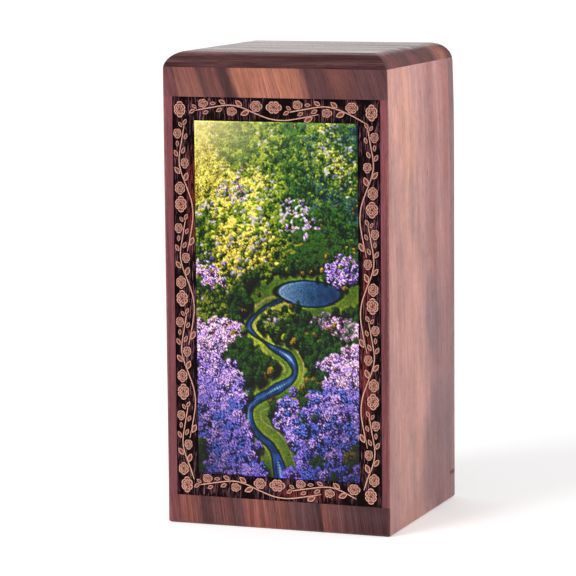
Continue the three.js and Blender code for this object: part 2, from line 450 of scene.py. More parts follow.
class Graph:
    """A node tree while it is being wired."""

    def __init__(self, tree: bpy.types.NodeTree) -> None:
        """Starts from a tree with no nodes in it."""
        self.tree = tree
        tree.nodes.clear()

    def feed(self, socket: bpy.types.NodeSocket, value: object) -> None:
        """Links a socket to a value, or sets it to a number, colour or vector.

        Args:
            socket: The input to feed.
            value: What goes in.
        """
        if isinstance(value, Value):
            self.tree.links.new(value.socket, socket)
        elif socket.type == "RGBA" and len(value) == 3:
            socket.default_value = (*value, 1.0)
        else:
            socket.default_value = value

    def add(self, kind: str, *values: object, **settings: object) -> Node:
        """Adds a node.

        Args:
            kind: The node's type, without its ShaderNode prefix.
            *values: What goes into its first inputs.
            **settings: Properties of the node to set.

        Returns:
            The new node.
        """
        node = self.tree.nodes.new(kind if kind.startswith("Node") else "ShaderNode" + kind)
        for key, value in settings.items():
            setattr(node, key, value)
        for socket, value in zip(node.inputs, values):
            self.feed(socket, value)
        return node

    def value(self, kind: str, *values: object, out: object = 0, **settings: object) -> Value:
        """Adds a node and gives one of its outputs.

        Args:
            kind: The node's type, without its ShaderNode prefix.
            *values: What goes into its first inputs.
            out: The output's number or name.
            **settings: Properties of the node to set.

        Returns:
            The output.
        """
        return Value(self, self.add(kind, *values, **settings).outputs[out])

    def sums(self, how: str, *values: object, clamp: bool = False) -> Value:
        """Works out a number from one or two others, by the operation that is named."""
        return self.value("Math", *values, operation=how, use_clamp=clamp)

    def step(self, value: object, start: float, end: float) -> Value:
        """Turns a value into 0 at the start, 1 at the end and a smooth climb between them."""
        return self.value("MapRange", value, start, end, 0.0, 1.0, interpolation_type="SMOOTHSTEP")

    def mix(self, share: object, first: object, second: object, how: str = "MIX") -> Value:
        """Mixes two colours.

        Args:
            share: How much of the second there is.
            first: The first colour.
            second: The second colour.
            how: The way they blend.

        Returns:
            The mixed colour.
        """
        node = self.add("Mix", data_type="RGBA", blend_type=how)
        for index, value in ((0, share), (6, first), (7, second)):
            self.feed(node.inputs[index], value)
        return Value(self, node.outputs[2])

    def lit(self, colour: object, light: Value) -> Value:
        """Multiplies a colour by a number."""
        return self.mix(1.0, colour, self.value("CombineColor", light, light, light), "MULTIPLY")

    def split(self, vector: object) -> tuple[Value, Value, Value]:
        """Gives the three numbers of a vector."""
        x, y, z = self.add("SeparateXYZ", vector).outputs
        return Value(self, x), Value(self, y), Value(self, z)

    def stretched(self, vector: object, scale: Sequence[float]) -> Value:
        """Scales a vector differently along each axis."""
        return self.value("VectorMath", vector, tuple(scale), operation="MULTIPLY")

    def noise(
        self, vector: object, scale: float | Sequence[float], detail: float, rough: float = 0.5
    ) -> Value:
        """Makes cloudy noise with a middle of 0.5.

        Args:
            vector: The place that it is read at.
            scale: How fine it is, as one number or one for each axis.
            detail: How many finer layers it has.
            rough: How strong those layers are.

        Returns:
            The noise.
        """
        node = self.add("TexNoise")
        if isinstance(scale, tuple):
            vector, scale = self.stretched(vector, scale), 1.0
        for name, value in (
            ("Vector", vector), ("Scale", scale), ("Detail", detail), ("Roughness", rough)
        ):
            self.feed(node.inputs[name], value)
        return Value(self, node.outputs[0])

    def ramp(self, value: object, stops: Sequence[tuple[float, Colour]]) -> Value:
        """Turns a value of 0 to 1 into a colour.

        Args:
            value: The value to look up.
            stops: The places and colours, in order.

        Returns:
            The colour.
        """
        node = self.add("ValToRGB", value)
        marks = node.color_ramp.elements
        while len(marks) > 1:
            marks.remove(marks[-1])
        marks[0].position, marks[0].color = stops[0][0], (*stops[0][1], 1.0)
        for place, colour in stops[1:]:
            marks.new(place).color = (*colour, 1.0)
        return Value(self, node.outputs[0])

    def group(self, make: Callable[[], bpy.types.NodeTree], **values: object) -> dict[str, Value]:
        """Places a shared effect, which is made the first time that it is asked for.

        Args:
            make: The function that makes the effect's node group.
            **values: What goes into its inputs, by their names.

        Returns:
            Its outputs, by their names.
        """
        if make.__name__ not in EFFECTS:
            EFFECTS[make.__name__] = make()
        node = self.add("Group", node_tree=EFFECTS[make.__name__])
        for key, value in values.items():
            self.feed(node.inputs[key], value)
        return {out.name: Value(self, out) for out in node.outputs}


# Effects that more than one finish shares

EFFECTS: dict[str, bpy.types.NodeTree] = {}


def new_group(
    name: str, inputs: Sequence[str], outputs: Sequence[str]
) -> tuple[Graph, list[Value], Node]:
    """Starts a shader node group whose first input is the place in millimetres.

    Args:
        name: The group's name.
        inputs: The names of the numbers that go in after the place.
        outputs: The names of the numbers that come out.

    Returns:
        The graph, its inputs and its output node.
    """
    tree = bpy.data.node_groups.new(name, "ShaderNodeTree")
    kinds = [("Place", "INPUT", "NodeSocketVector")]
    kinds += [(label, "INPUT", "NodeSocketFloat") for label in inputs]
    kinds += [(label, "OUTPUT", "NodeSocketFloat") for label in outputs]
    for label, in_out, kind in kinds:
        tree.interface.new_socket(name=label, in_out=in_out, socket_type=kind)
    g = Graph(tree)
    given = [Value(g, socket) for socket in g.add("NodeGroupInput").outputs if socket.name]
    return g, given, g.add("NodeGroupOutput")


def rosewood_grain() -> bpy.types.NodeTree:
    """Makes the grain of rosewood, which runs along Z of the place that it is given."""
    names = ("Shift", "Fibre", "Bands", "Pores", "Smoke")
    g, (place, drift), made = new_group("rosewood_grain", ["Drift"], names)
    slow = g.noise(place, (0.05, 0.05, 0.016), 2.0)
    ragged = g.noise(place, (0.45, 0.45, 0.05), 4.0, 0.65)
    pull = g.value("CombineXYZ", slow * drift)
    moved = g.value("VectorMath", place, pull, operation="ADD")
    results = (
        (ragged * 0.7 + slow - 0.85) * drift,
        g.noise(moved, (1.5, 1.5, 0.022), 4.0, 0.65),
        g.step(g.noise(moved, (0.3, 0.3, 0.008), 4.0, 0.6), 0.4, 0.6),
        g.step(g.noise(moved, (3.4, 3.4, 0.16), 1.0), 0.6, 0.7),
        g.noise(moved, (0.045, 0.045, 0.02), 4.0, 0.6),
    )
    for socket, value in zip(made.inputs, results):
        g.feed(socket, value)
    return g.tree


def handled_edges() -> bpy.types.NodeTree:
    """Makes the rubbing and a painted highlight along the edges where two outer faces of the case
    meet.
    """
    g, (place, reach, unevenness), made = new_group(
        "handled_edges", ["Reach", "Unevenness"], ["Wear"]
    )
    middle, half = (CAD_LOW + CAD_HIGH) / 2 / MM, (CAD_HIGH - CAD_LOW) / 2 / MM
    inset = [half[i] - abs(off - middle[i]) for i, off in enumerate(g.split(place))]
    edges = [g.sums("MAXIMUM", inset[a], inset[b]) for a, b in ((0, 1), (1, 2), (0, 2))]
    nearest = g.sums("MINIMUM", g.sums("MINIMUM", edges[0], edges[1]), edges[2])
    nearest = (g.noise(place, 0.35, 3.0) - 0.5) * unevenness + nearest
    g.feed(made.inputs[0], g.sums("SUBTRACT", 1.0, nearest / reach, clamp=True))
    return g.tree


def handling_marks() -> bpy.types.NodeTree:
    """Makes the faint smears and dust that change a finish's gloss."""
    g, (place, strength), made = new_group("handling_marks", ["Strength"], ["Change"])
    smears = g.noise(place, (0.03, 0.03, 0.05), 3.0)
    specks = g.step(g.noise(place, 2.6, 1.0), 0.68, 0.76)
    g.feed(made.inputs[0], (smears - 0.5 + specks * 0.4) * strength)
    return g.tree


class Surface:
    """A material while it is being wired: its graph, its shader and the place in millimetres."""

    def __init__(self, name: str) -> None:
        """Makes a material whose Principled shader has still to be fed.

        Args:
            name: The material's name.
        """
        self.material = bpy.data.materials.new(name)
        self.material.use_nodes = True
        self.g = Graph(self.material.node_tree)
        self.shader = self.g.add("BsdfPrincipled")
        self.g.add("OutputMaterial", Value(self.g, self.shader.outputs[0]))
        where = self.g.value("TexCoord", out="Object")
        self.place = self.g.stretched(where, (1 / MM, 1 / MM, 1 / MM))

    def set(self, **values: object) -> None:
        """Feeds the shader's inputs, by their names with underscores for spaces."""
        for key, value in values.items():
            self.g.feed(self.shader.inputs[key.replace("_", " ")], value)

    def grain(self, drift: float, place: Value | None = None) -> dict[str, Value]:
        """Places the grain of rosewood on the object's place, or on one that is turned."""
        return self.g.group(rosewood_grain, Place=place or self.place, Drift=drift)

    def marks(self, strength: float, roughness: float) -> Value:
        """Gives a roughness that handling has made uneven."""
        marks = self.g.group(handling_marks, Place=self.place, Strength=strength)
        return marks["Change"] + roughness

    def finish(
        self, colour: Value, roughness: Value, specular: float, height: Value, depth: float
    ) -> bpy.types.Material:
        """Feeds the shader and hands the material over.

        Args:
            colour: The base colour.
            roughness: The roughness.
            specular: How much the surface mirrors.
            height: The height of its fine relief, from 0 to 1.
            depth: How deep a height of 1 is, in millimetres.

        Returns:
            The material.
        """
        bump = self.g.add("Bump")
        self.g.feed(bump.inputs["Strength"], 1.0)
        self.g.feed(bump.inputs["Distance"], depth * MM)
        self.g.feed(bump.inputs["Height"], height)
        normal = Value(self.g, bump.outputs[0])
        self.set(
            Base_Color=colour, Roughness=roughness, Specular_IOR_Level=specular, Normal=normal
        )
        return self.material


@dataclass(frozen=True)
class Patch:
    """A stain on a board: its middle and half size across and along the grain, and its colour."""

    across: float
    along: float
    half_width: float
    half_length: float
    colour: Colour
    strength: float = 0.8


@dataclass(frozen=True)
class WoodFinish:
    """Rosewood under satin varnish. Places are in millimetres on the object."""

    name: str
    tones: tuple[tuple[float, Colour], ...]
    across: Axis = Axis.X
    along: Axis = Axis.Z
    patches: tuple[Patch, ...] = ()
    drift: float = 5.0
    banding: float = 0.3
    fibre: float = 0.3
    pores: float = 0.5
    smoke: float = 0.2
    clouding: float = 0.0
    lean: tuple[float, float] = (0.0, 0.0)
    # Painted light and shade: these brighten the board towards its top and darken it towards its
    # foot, as light falls on the case.
    top_light: float = 1.0
    foot_light: float = 1.0
    roughness: float = 0.42
    polished_top: float = 0.0
    coat_roughness: float = 0.22
    specular: float = 0.2
    # The edge lightening is partly rubbing from handling and partly a painted highlight where the
    # rounded edges catch the light.
    edge_wear_and_highlight: float = 0.3
    seed: float = 0.0
    band: Colour = srgb(56, 30, 30)
    pore: Colour = srgb(38, 18, 18)
    cloud: Colour = srgb(132, 104, 114)
    # The colour of the outer edges: rubbed wood and a painted highlight.
    worn_and_highlit: Colour = srgb(216, 160, 140)

    def turned(self, surface: Surface) -> Value:
        """Turns the place so that the grain runs along Z and the board's width along X.

        Args:
            surface: The surface whose place is turned.

        Returns:
            The turned place, with the grain's lean taken out.
        """
        third = next(a for a in Axis if a not in (self.across, self.along))
        place = surface.g.split(surface.place)
        wide, thick, long = (place[axis.value] for axis in (self.across, third, self.along))
        slope, level = self.lean
        if slope:
            wide = long * slope + wide - slope * level
        return surface.g.value("CombineXYZ", wide, thick + self.seed, long)

    def base_tone(self, g: Graph, turned: Value, shift: Value) -> Value:
        """Colours the board by how far across it a place is, and lays its patches on.

        Args:
            g: The material's graph.
            turned: The turned place.
            shift: How far the grain has wandered across the board.

        Returns:
            The colour.
        """
        wide, _, long = g.split(turned)
        low, high = self.tones[0][0], self.tones[-1][0]
        at = wide + shift
        stops = [((mm - low) / (high - low), colour) for mm, colour in self.tones]
        colour = g.ramp((at - low) / (high - low), stops)
        for patch in self.patches:
            across = (at - patch.across) / patch.half_width
            along = (long - patch.along) / patch.half_length
            mask = 1.0 - g.step(across * across + along * along, 0.35, 1.25)
            colour = g.mix(mask * patch.strength, colour, patch.colour)
        return colour

    def polish(self, surface: Surface, bands: Value, fibre: Value) -> None:
        """Lays a clear coat on the flat of the top, thinner over the dark bands.

        Args:
            surface: The surface to polish.
            bands: The grain's bands.
            fibre: The grain's fibres.
        """
        flat = surface.g.step(surface.g.split(surface.place)[2], TOP_MM - 2.2, TOP_MM - 0.2)
        uneven = fibre * 0.2 + (bands * -0.5 + self.polished_top)
        surface.set(Coat_Weight=flat * uneven, Coat_Roughness=self.coat_roughness)

    def material(self) -> bpy.types.Material:
        """Makes the board's material, whose grain is calmer on its sawn ends.

        Returns:
            The material.
        """
        surface = Surface(self.name)
        g, turned = surface.g, self.turned(surface)
        grain = surface.grain(self.drift, turned)
        sawn_end = abs(g.split(g.value("TexCoord", out="Normal"))[self.along.value])
        calm = g.step(sawn_end, 0.4, 0.9) * -0.75 + 1.0
        colour = self.base_tone(g, turned, grain["Shift"])
        colour = g.mix(grain["Bands"] * self.banding * calm, colour, self.band)
        fibre = (g.step(grain["Fibre"], 0.36, 0.64) - 0.5) * calm + 0.5
        smoke = g.step(grain["Smoke"], 0.3, 0.7)
        light = fibre * self.fibre + (1.0 - self.fibre / 2)
        light = light * (smoke * -self.smoke + (1.0 + self.smoke / 2))
        if self.clouding > 0:
            cloud = g.step(g.noise(turned, (0.055, 0.055, 0.022), 4.0, 0.55), 0.45, 0.68)
            colour = g.mix(cloud * self.clouding, colour, self.cloud)
        # Painted light and shade: the colour is made brighter towards the top of the case and
        # darker towards its foot.
        height = g.split(surface.place)[2] / TOP_MM
        light = light * (height * (self.top_light - self.foot_light) + self.foot_light)
        colour = g.mix(grain["Pores"] * self.pores, g.lit(colour, light), self.pore)
        # Lightens the outer edges: partly rubbing, partly a painted highlight along them.
        edge_wear_and_highlight = g.group(handled_edges, Place=surface.place, Reach=1.6, Unevenness=1.4)["Wear"]
        colour = g.mix(edge_wear_and_highlight * self.edge_wear_and_highlight, colour, self.worn_and_highlit)
        rough = surface.marks(0.16, self.roughness) + grain["Pores"] * 0.2 + fibre * 0.08
        if self.polished_top > 0:
            self.polish(surface, grain["Bands"], fibre)
        deep = grain["Pores"] * -0.7 + fibre
        return surface.finish(colour, rough, self.specular, deep, 0.05)


@dataclass(frozen=True)
class GroundFinish:
    """The engraved ground: wood burnt nearly black, with the grain showing as grey streaks."""

    name: str = "engraved_ground"
    burnt: Colour = srgb(16, 7, 9)
    ash: Colour = srgb(128, 84, 92)
    bare: Colour = srgb(132, 56, 54)
    pore: Colour = srgb(8, 5, 6)
    patches: tuple[tuple[float, float, float, float], ...] = (
        (-54, 196, 3.0, 36), (56, 92, 4.4, 36), (56.5, 150, 2.5, 25), (20, 23, 24, 4),
    )

    def material(self) -> bpy.types.Material:
        """Makes the material, with the patches where the burning left the wood red.

        Returns:
            The material.
        """
        surface = Surface(self.name)
        g, place, grain = surface.g, surface.place, surface.grain(3.0)
        streaks = g.noise(place, (2.0, 2.0, 0.13), 2.0, 0.6)
        clumps = g.noise(place, (0.12, 0.12, 0.05), 2.0)
        ashy = g.step(streaks, 0.54, 0.62) * g.step(clumps, 0.34, 0.6)
        colour = g.mix(ashy, self.burnt, self.ash)
        x, _, z = g.split(place)
        for middle, level, half_width, half_length in self.patches:
            across, along = (x - middle) / half_width, (z - level) / half_length
            far = grain["Smoke"] * 0.6 + (across * across + along * along)
            mask = (1.0 - g.step(far, 0.6, 1.5)) * g.step(streaks, 0.44, 0.54)
            colour = g.mix(mask * 0.75, colour, self.bare)
        colour = g.mix(grain["Pores"] * 0.5, colour, self.pore)
        return surface.finish(colour, surface.marks(0.1, 0.7), 0.04, ashy * 0.5 + streaks, 0.1)


@dataclass(frozen=True)
class ReliefFinish:
    """Bare wood left standing in the ground, or the burnt line cut round it."""

    name: str
    wood: Colour
    shade: Colour
    roughness: float = 0.55

    def material(self) -> bpy.types.Material:
        """Makes the material.

        Returns:
            The material.
        """
        surface = Surface(self.name)
        g, grain = surface.g, surface.grain(2.0)
        mottle = g.step(g.noise(surface.place, 0.9, 3.0, 0.6), 0.35, 0.7)
        fibre = g.step(grain["Fibre"], 0.4, 0.75)
        colour = g.mix(mottle * 0.7, self.wood, self.shade)
        colour = g.mix(fibre * 0.25, colour, self.shade)
        rough = surface.marks(0.12, self.roughness)
        return surface.finish(colour, rough, 0.3, grain["Fibre"], 0.04)


@dataclass(frozen=True)
class PrintFinish:
    """The printed picture: its colours are an attribute of the mesh, broken up by fine dots."""

    name: str = "printed_picture"
    attribute: str = "painting"
    grain: float = 0.5

    def material(self) -> bpy.types.Material:
        """Makes the material.

        Returns:
            The material.
        """
        surface = Surface(self.name)
        g, place = surface.g, surface.place
        painted = g.value("Attribute", out="Color", attribute_name=self.attribute)
        dots = g.step(g.noise(place, 1.9, 2.0, 0.6), 0.3, 0.72)
        colour = g.lit(painted, dots * self.grain + (1.0 - self.grain / 2))
        fibres = g.noise(place, (2.2, 2.2, 0.08), 3.0)
        return surface.finish(colour, surface.marks(0.1, 0.5), 0.25, fibres, 0.02)


@dataclass(frozen=True)
class BrassFinish:
    """Brushed brass, a little tarnished."""

    name: str = "screw_brass"
    metal: Colour = srgb(214, 170, 96)
    tarnish: Colour = srgb(120, 86, 44)

    def material(self) -> bpy.types.Material:
        """Makes the material.

        Returns:
            The material.
        """
        surface = Surface(self.name)
        g, place = surface.g, surface.place
        spots = g.step(g.noise(place, 0.8, 3.0, 0.65), 0.5, 0.75)
        scratches = g.noise(place, (6.0, 0.4, 1.0), 2.0)
        surface.set(Metallic=1.0)
        colour = g.mix(spots, self.metal, self.tarnish)
        return surface.finish(colour, spots * 0.25 + 0.28, 0.5, scratches, 0.02)


class Tone(Enum):
    """The tones of this rosewood, from its pale sapwood to its inky streaks."""

    SAP = srgb(208, 151, 139)
    PINK = srgb(190, 138, 134)
    DUSK = srgb(172, 112, 107)
    MAUVE = srgb(148, 108, 108)
    ORANGE = srgb(180, 114, 94)
    TAN = srgb(156, 98, 88)
    RED = srgb(134, 78, 82)
    CRIMSON = srgb(144, 79, 86)
    RUST = srgb(142, 84, 74)
    BROWN = srgb(122, 74, 70)
    PLUM = srgb(102, 65, 67)
    DARK = srgb(84, 52, 54)
    INK = srgb(62, 36, 38)


def tones(line: str) -> tuple[tuple[float, Colour], ...]:
    """Reads a board's tones.

    Args:
        line: Places in millimetres across the board, each followed by the tone's name.

    Returns:
        The places and colours.
    """
    words = line.split()
    return tuple((float(mm), Tone[name].value) for mm, name in zip(words[::2], words[1::2]))


TOP_WOOD = WoodFinish(
    "top_board_wood",
    tones("-64 PLUM -62 DARK -60 PLUM -57 BROWN -50 RED -40 BROWN -22 PLUM -12 RED 4 PLUM"
          " 12 BROWN 26 PLUM 36 TAN 46 ORANGE 54 BROWN 64 DARK"),
    across=Axis.Y, along=Axis.X, drift=2.5, banding=0.72, fibre=0.7, seed=31.0, edge_wear_and_highlight=0.1,
    roughness=0.5, specular=0.08, polished_top=0.88,
)
TOP_RAIL_WOOD = WoodFinish(
    "top_rail_wood",
    tones("-71 RED -65 RED -63.6 PLUM -62 TAN -49 TAN -45 PLUM -42 BROWN -36 BROWN -33 DARK"
          " -29 DARK -25 ORANGE -2.6 ORANGE -1.4 TAN -0.2 ORANGE 13 ORANGE 20 PLUM 30 PLUM"
          " 36 BROWN 46 BROWN 54 PLUM 71 PLUM"),
    drift=9.0, banding=0.2, fibre=0.3, smoke=0.45, lean=(0.3, 267.0), top_light=0.92, seed=3.0,
    edge_wear_and_highlight=0.1,
)
PANEL_WOOD = WoodFinish(
    "front_panel_wood",
    tones("-71 CRIMSON -66 CRIMSON -60 BROWN 60 BROWN 66 CRIMSON 69 CRIMSON 71 RED"),
    banding=0.35, seed=11.0, edge_wear_and_highlight=0.35, foot_light=0.6, top_light=1.0,
)
BOTTOM_RAIL_WOOD = WoodFinish(
    "bottom_rail_wood",
    tones("-71 RED -60 RUST -54 BROWN -50 DARK -46 PLUM -38 BROWN -32 PLUM -27 PLUM -22 RUST"
          " -12 RUST -7 BROWN -2 RUST 4 BROWN 9 PLUM 17 PLUM 22 DARK 23 INK 24.5 INK 26.5 RUST"
          " 30 BROWN 40 PLUM 48 DARK 71 DARK"),
    drift=4.0, banding=0.4, fibre=0.55, smoke=0.2, lean=(0.12, 36.0), seed=17.0, edge_wear_and_highlight=0.1,
    foot_light=0.93, specular=0.1,
)
RIGHT_WOOD = WoodFinish(
    "right_side_wood",
    tones("-64 PINK -50 SAP -14 SAP 8 PINK 24 DUSK 36 PINK 48 DUSK 64 DUSK"),
    patches=(Patch(-22, 235, 15, 48, srgb(222, 160, 136), 0.5),
             Patch(34, 92, 26, 66, srgb(138, 100, 104), 0.5),
             Patch(-18, 192, 7, 24, srgb(150, 116, 116), 0.5),
             Patch(16, 125, 12, 28, srgb(134, 102, 108), 0.6),
             Patch(22, 36, 30, 46, srgb(122, 92, 98), 0.5)),
    across=Axis.Y, banding=0.12, fibre=0.26, pores=0.35, smoke=0.3, clouding=0.3, drift=9.0,
    seed=41.0, lean=(0.06, 140.0), edge_wear_and_highlight=0.2, foot_light=0.71, top_light=1.14,
)
LEFT_WOOD = WoodFinish(
    "left_side_wood", tones("-64 RED -30 PINK 6 DUSK 20 PINK 64 DUSK"),
    across=Axis.Y, banding=0.2, fibre=0.2, pores=0.35, drift=9.0, seed=53.0, edge_wear_and_highlight=0.3,
)
BACK_WOOD = WoodFinish(
    "back_board_wood", tones("-60 MAUVE -50 RED -20 DUSK -8 BROWN 4 DUSK 50 RED 60 MAUVE"),
    patches=(Patch(71, 17, 3.4, 1.4, Tone.INK.value, 0.9),),
    banding=0.25, fibre=0.22, drift=9.0, seed=67.0, edge_wear_and_highlight=0.25,
)
BASE_WOOD = WoodFinish(
    "base_plate_wood", tones("-67 BROWN 0 PLUM 67 BROWN"),
    across=Axis.Y, along=Axis.X, banding=0.3, fibre=0.3, roughness=0.6, seed=79.0, edge_wear_and_highlight=0.0,
)
PETAL_FINISH = ReliefFinish("standing_wood", srgb(234, 182, 160), srgb(196, 132, 114))
HOLLOW_FINISH = ReliefFinish("hollow_wood", srgb(146, 84, 70), srgb(104, 56, 48))
CUT_FINISH = ReliefFinish("burnt_line", srgb(84, 42, 36), srgb(48, 24, 22), 0.7)


@dataclass(frozen=True)
class Board:
    """A board: its CAD node, its name here, its slot and finish, its rebate and its mitred ends."""

    node: str
    name: str
    slot: str
    finish: WoodFinish
    footed: bool = False
    mitred: tuple[int, ...] = ()


CASE_BOARDS = (
    Board("top_board", "rounded_top_board", "top_wood", TOP_WOOD),
    Board("front_top_rail", "streaked_top_rail", "top_rail_wood", TOP_RAIL_WOOD, False, (-1, 1)),
    Board("front_bottom_rail", "bottom_rail", "bottom_rail_wood", BOTTOM_RAIL_WOOD, True, (-1, 1)),
    Board("side_left", "left_side_board", "side_wood", LEFT_WOOD, True, (-1,)),
    Board("side_right", "right_side_board", "side_wood", RIGHT_WOOD, True, (1,)),
    Board("back_board", "back_board_plain", "back_wood", BACK_WOOD, True),
)
PANEL_BOARD = Board(
    "front_panel", "engraved_front_panel", "panel_wood", PANEL_WOOD, False, (-1, 1)
)


# Sub-assemblies


@dataclass
class Case:
    """The rosewood boards round the chamber: top, rails, sides and back."""

    rounding: Rounding = Rounding()
    beyond: float = 8 * MM
    outermost: float = 3 * MM
    plate_gap: float = 0.4 * MM
    saw_slack: float = 1e-7

    def __post_init__(self) -> None:
        """Makes the blank that the boards are cut from."""
        self.blank = Blank(self.rounding).build()

    def cut_rebate(self, piece: Thing) -> None:
        """Lets the rebate of the base plate into the foot of a board.

        Args:
            piece: A board that stands round the base plate.
        """
        low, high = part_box("base_plate")
        gap = Vector((self.plate_gap, self.plate_gap, 0))
        low, high = low - gap, high + gap
        low.z -= self.beyond
        carve(piece, Cut.OUTSIDE, new_object("rebate", block(low, high)))

    def mitre(self, piece: Thing, board: Board, side: int) -> None:
        """Saws a board off along the mitre line of one front corner.

        Args:
            piece: The board to saw.
            board: Which board it is. The part with its middle stays.
            side: -1 for the left corner, 1 for the right one.
        """
        front_low, front_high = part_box(PANEL_BOARD.node)
        side_low, side_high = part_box("side_right" if side > 0 else "side_left")
        corner = Vector((side_low.x if side > 0 else side_high.x, front_high.y, 0))
        away = Vector((side * (front_high.y - front_low.y), side_high.x - side_low.x, 0))
        low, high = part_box(board.node)
        if ((low + high) / 2 - corner).dot(away) > 0:
            away.negate()
        shape = opened(piece)
        sawn = bmesh.ops.bisect_plane(
            shape, geom=[*shape.verts, *shape.edges, *shape.faces], dist=self.saw_slack,
            plane_co=corner, plane_no=away, clear_outer=True,
        )
        rim = [part for part in sawn["geom_cut"] if isinstance(part, bmesh.types.BMEdge)]
        bmesh.ops.holes_fill(shape, edges=rim, sides=0)
        bmesh.ops.recalc_face_normals(shape, faces=shape.faces)
        close(piece, shape)

    def ease(self, piece: Thing) -> None:
        """Softens a board's cut edges and evens out its shading.

        Args:
            piece: The board to finish.
        """
        for polygon in piece.data.polygons:
            polygon.use_smooth = True
        bevel_edges(piece, self.rounding.joint)
        piece.modifiers.new("even shading", "WEIGHTED_NORMAL").keep_sharp = True

    def cut(self, board: Board) -> Thing:
        """Cuts one board out of the blank, in the place of its CAD node.

        Args:
            board: The board to cut.

        Returns:
            The board, riding on the frame.
        """
        low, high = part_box(board.node)
        for i in range(3):
            if low[i] < CAD_LOW[i] + self.outermost:
                low[i] -= self.beyond
            if high[i] > CAD_HIGH[i] - self.outermost:
                high[i] += self.beyond
        piece = add_object(board.name, self.blank.data.copy())
        piece.data.name = board.name
        carve(piece, Cut.INSIDE, new_object("saw", block(low, high)))
        if board.footed:
            self.cut_rebate(piece)
        for side in board.mitred:
            self.mitre(piece, board, side)
        join_flats(piece)
        place_on_frame(piece, board.node)
        return piece

    def build(self) -> None:
        """Cuts every plain board out of the blank and dresses it."""
        for board in CASE_BOARDS:
            piece = self.cut(board)
            self.ease(piece)
            give(piece, board.finish.material())
            report(piece)


@dataclass(frozen=True)
class Flower:
    """A rose of the border, in millimetres along it and in from its outer edge."""

    along: float
    inset: float
    length: float
    width: float
    petals: int


@dataclass(frozen=True)
class Ring:
    """A ring of petals: its share of the way out, how deep it lies and how far it is turned."""

    inner: float
    outer: float
    drop: float
    offset: float


OUTER_RING = Ring(0.26, 1.0, 0.3, 0.0)
INNER_RING = Ring(0.12, 0.66, 0.17, 0.31)
INNER_PETALS = 5
BUD_PETALS = 3


@dataclass(frozen=True)
class Leaf:
    """A leaf of the border, from its base to its tip."""

    base: Point
    tip: Point


@dataclass(frozen=True)
class Border:
    """The engraved border: where it lies on the panel and what one module of it holds, in mm."""

    left_margin: float = 6.0
    right_margin: float = 5.2
    width: float = 14.1
    depth: float = 0.7
    module_length: float = 56.75
    side_modules: int = 4
    end_modules: int = 2
    side_start: float = 7.6
    end_start: float = 4.8
    end_overrun: float = 6.5
    length_kept: float = 0.6
    slack: float = 1.2
    left_shift: float = 0.8
    bottom_rise: float = 0.7
    corner_drop: float = 7.1
    vine_width: float = 1.0
    leaf_width: float = 0.43
    rose: Flower = Flower(0, 5.5, 9.8, 7.2, 6)
    roses: tuple[Flower, ...] = (
        Flower(14.4, 3.8, 6.3, 5.2, 5),
        Flower(32.1, 8.3, 6.5, 5.2, 5),
        Flower(47.1, 5, 7.8, 6.6, 6),
    )
    leaves: tuple[Leaf, ...] = (
        Leaf((10.7, 6.9), (7.4, 4.6)), Leaf((9.5, 7.5), (5.6, 9.8)),
        Leaf((18.5, 3.8), (22.6, 3.7)), Leaf((28.4, 3.9), (24.1, 1.6)),
        Leaf((18.1, 8.3), (14.1, 10)), Leaf((26.6, 6.5), (22.4, 8.6)),
        Leaf((38.7, 5.2), (34.3, 1.7)), Leaf((43.1, 7.9), (37.4, 10.3)),
    )
    end_leaf: Leaf = Leaf((76.2, 13.6), (81.7, 10.8))
    vine: tuple[Point, ...] = (
        (9.5, 8.1), (17.4, 6.6), (29.9, 4.6), (38.2, 6), (46.6, 9.3),
        (54.9, 12.2), (63.2, 13.1), (71.6, 12), (84.9, 9.2),
    )
    last_side: tuple[int, Point] = (5, (53.4, 11.6))
    last_top: tuple[int, Point] = (5, (56.2, 14.4))
    last_bottom: tuple[int, Point] = (4, (48.3, 10.6))


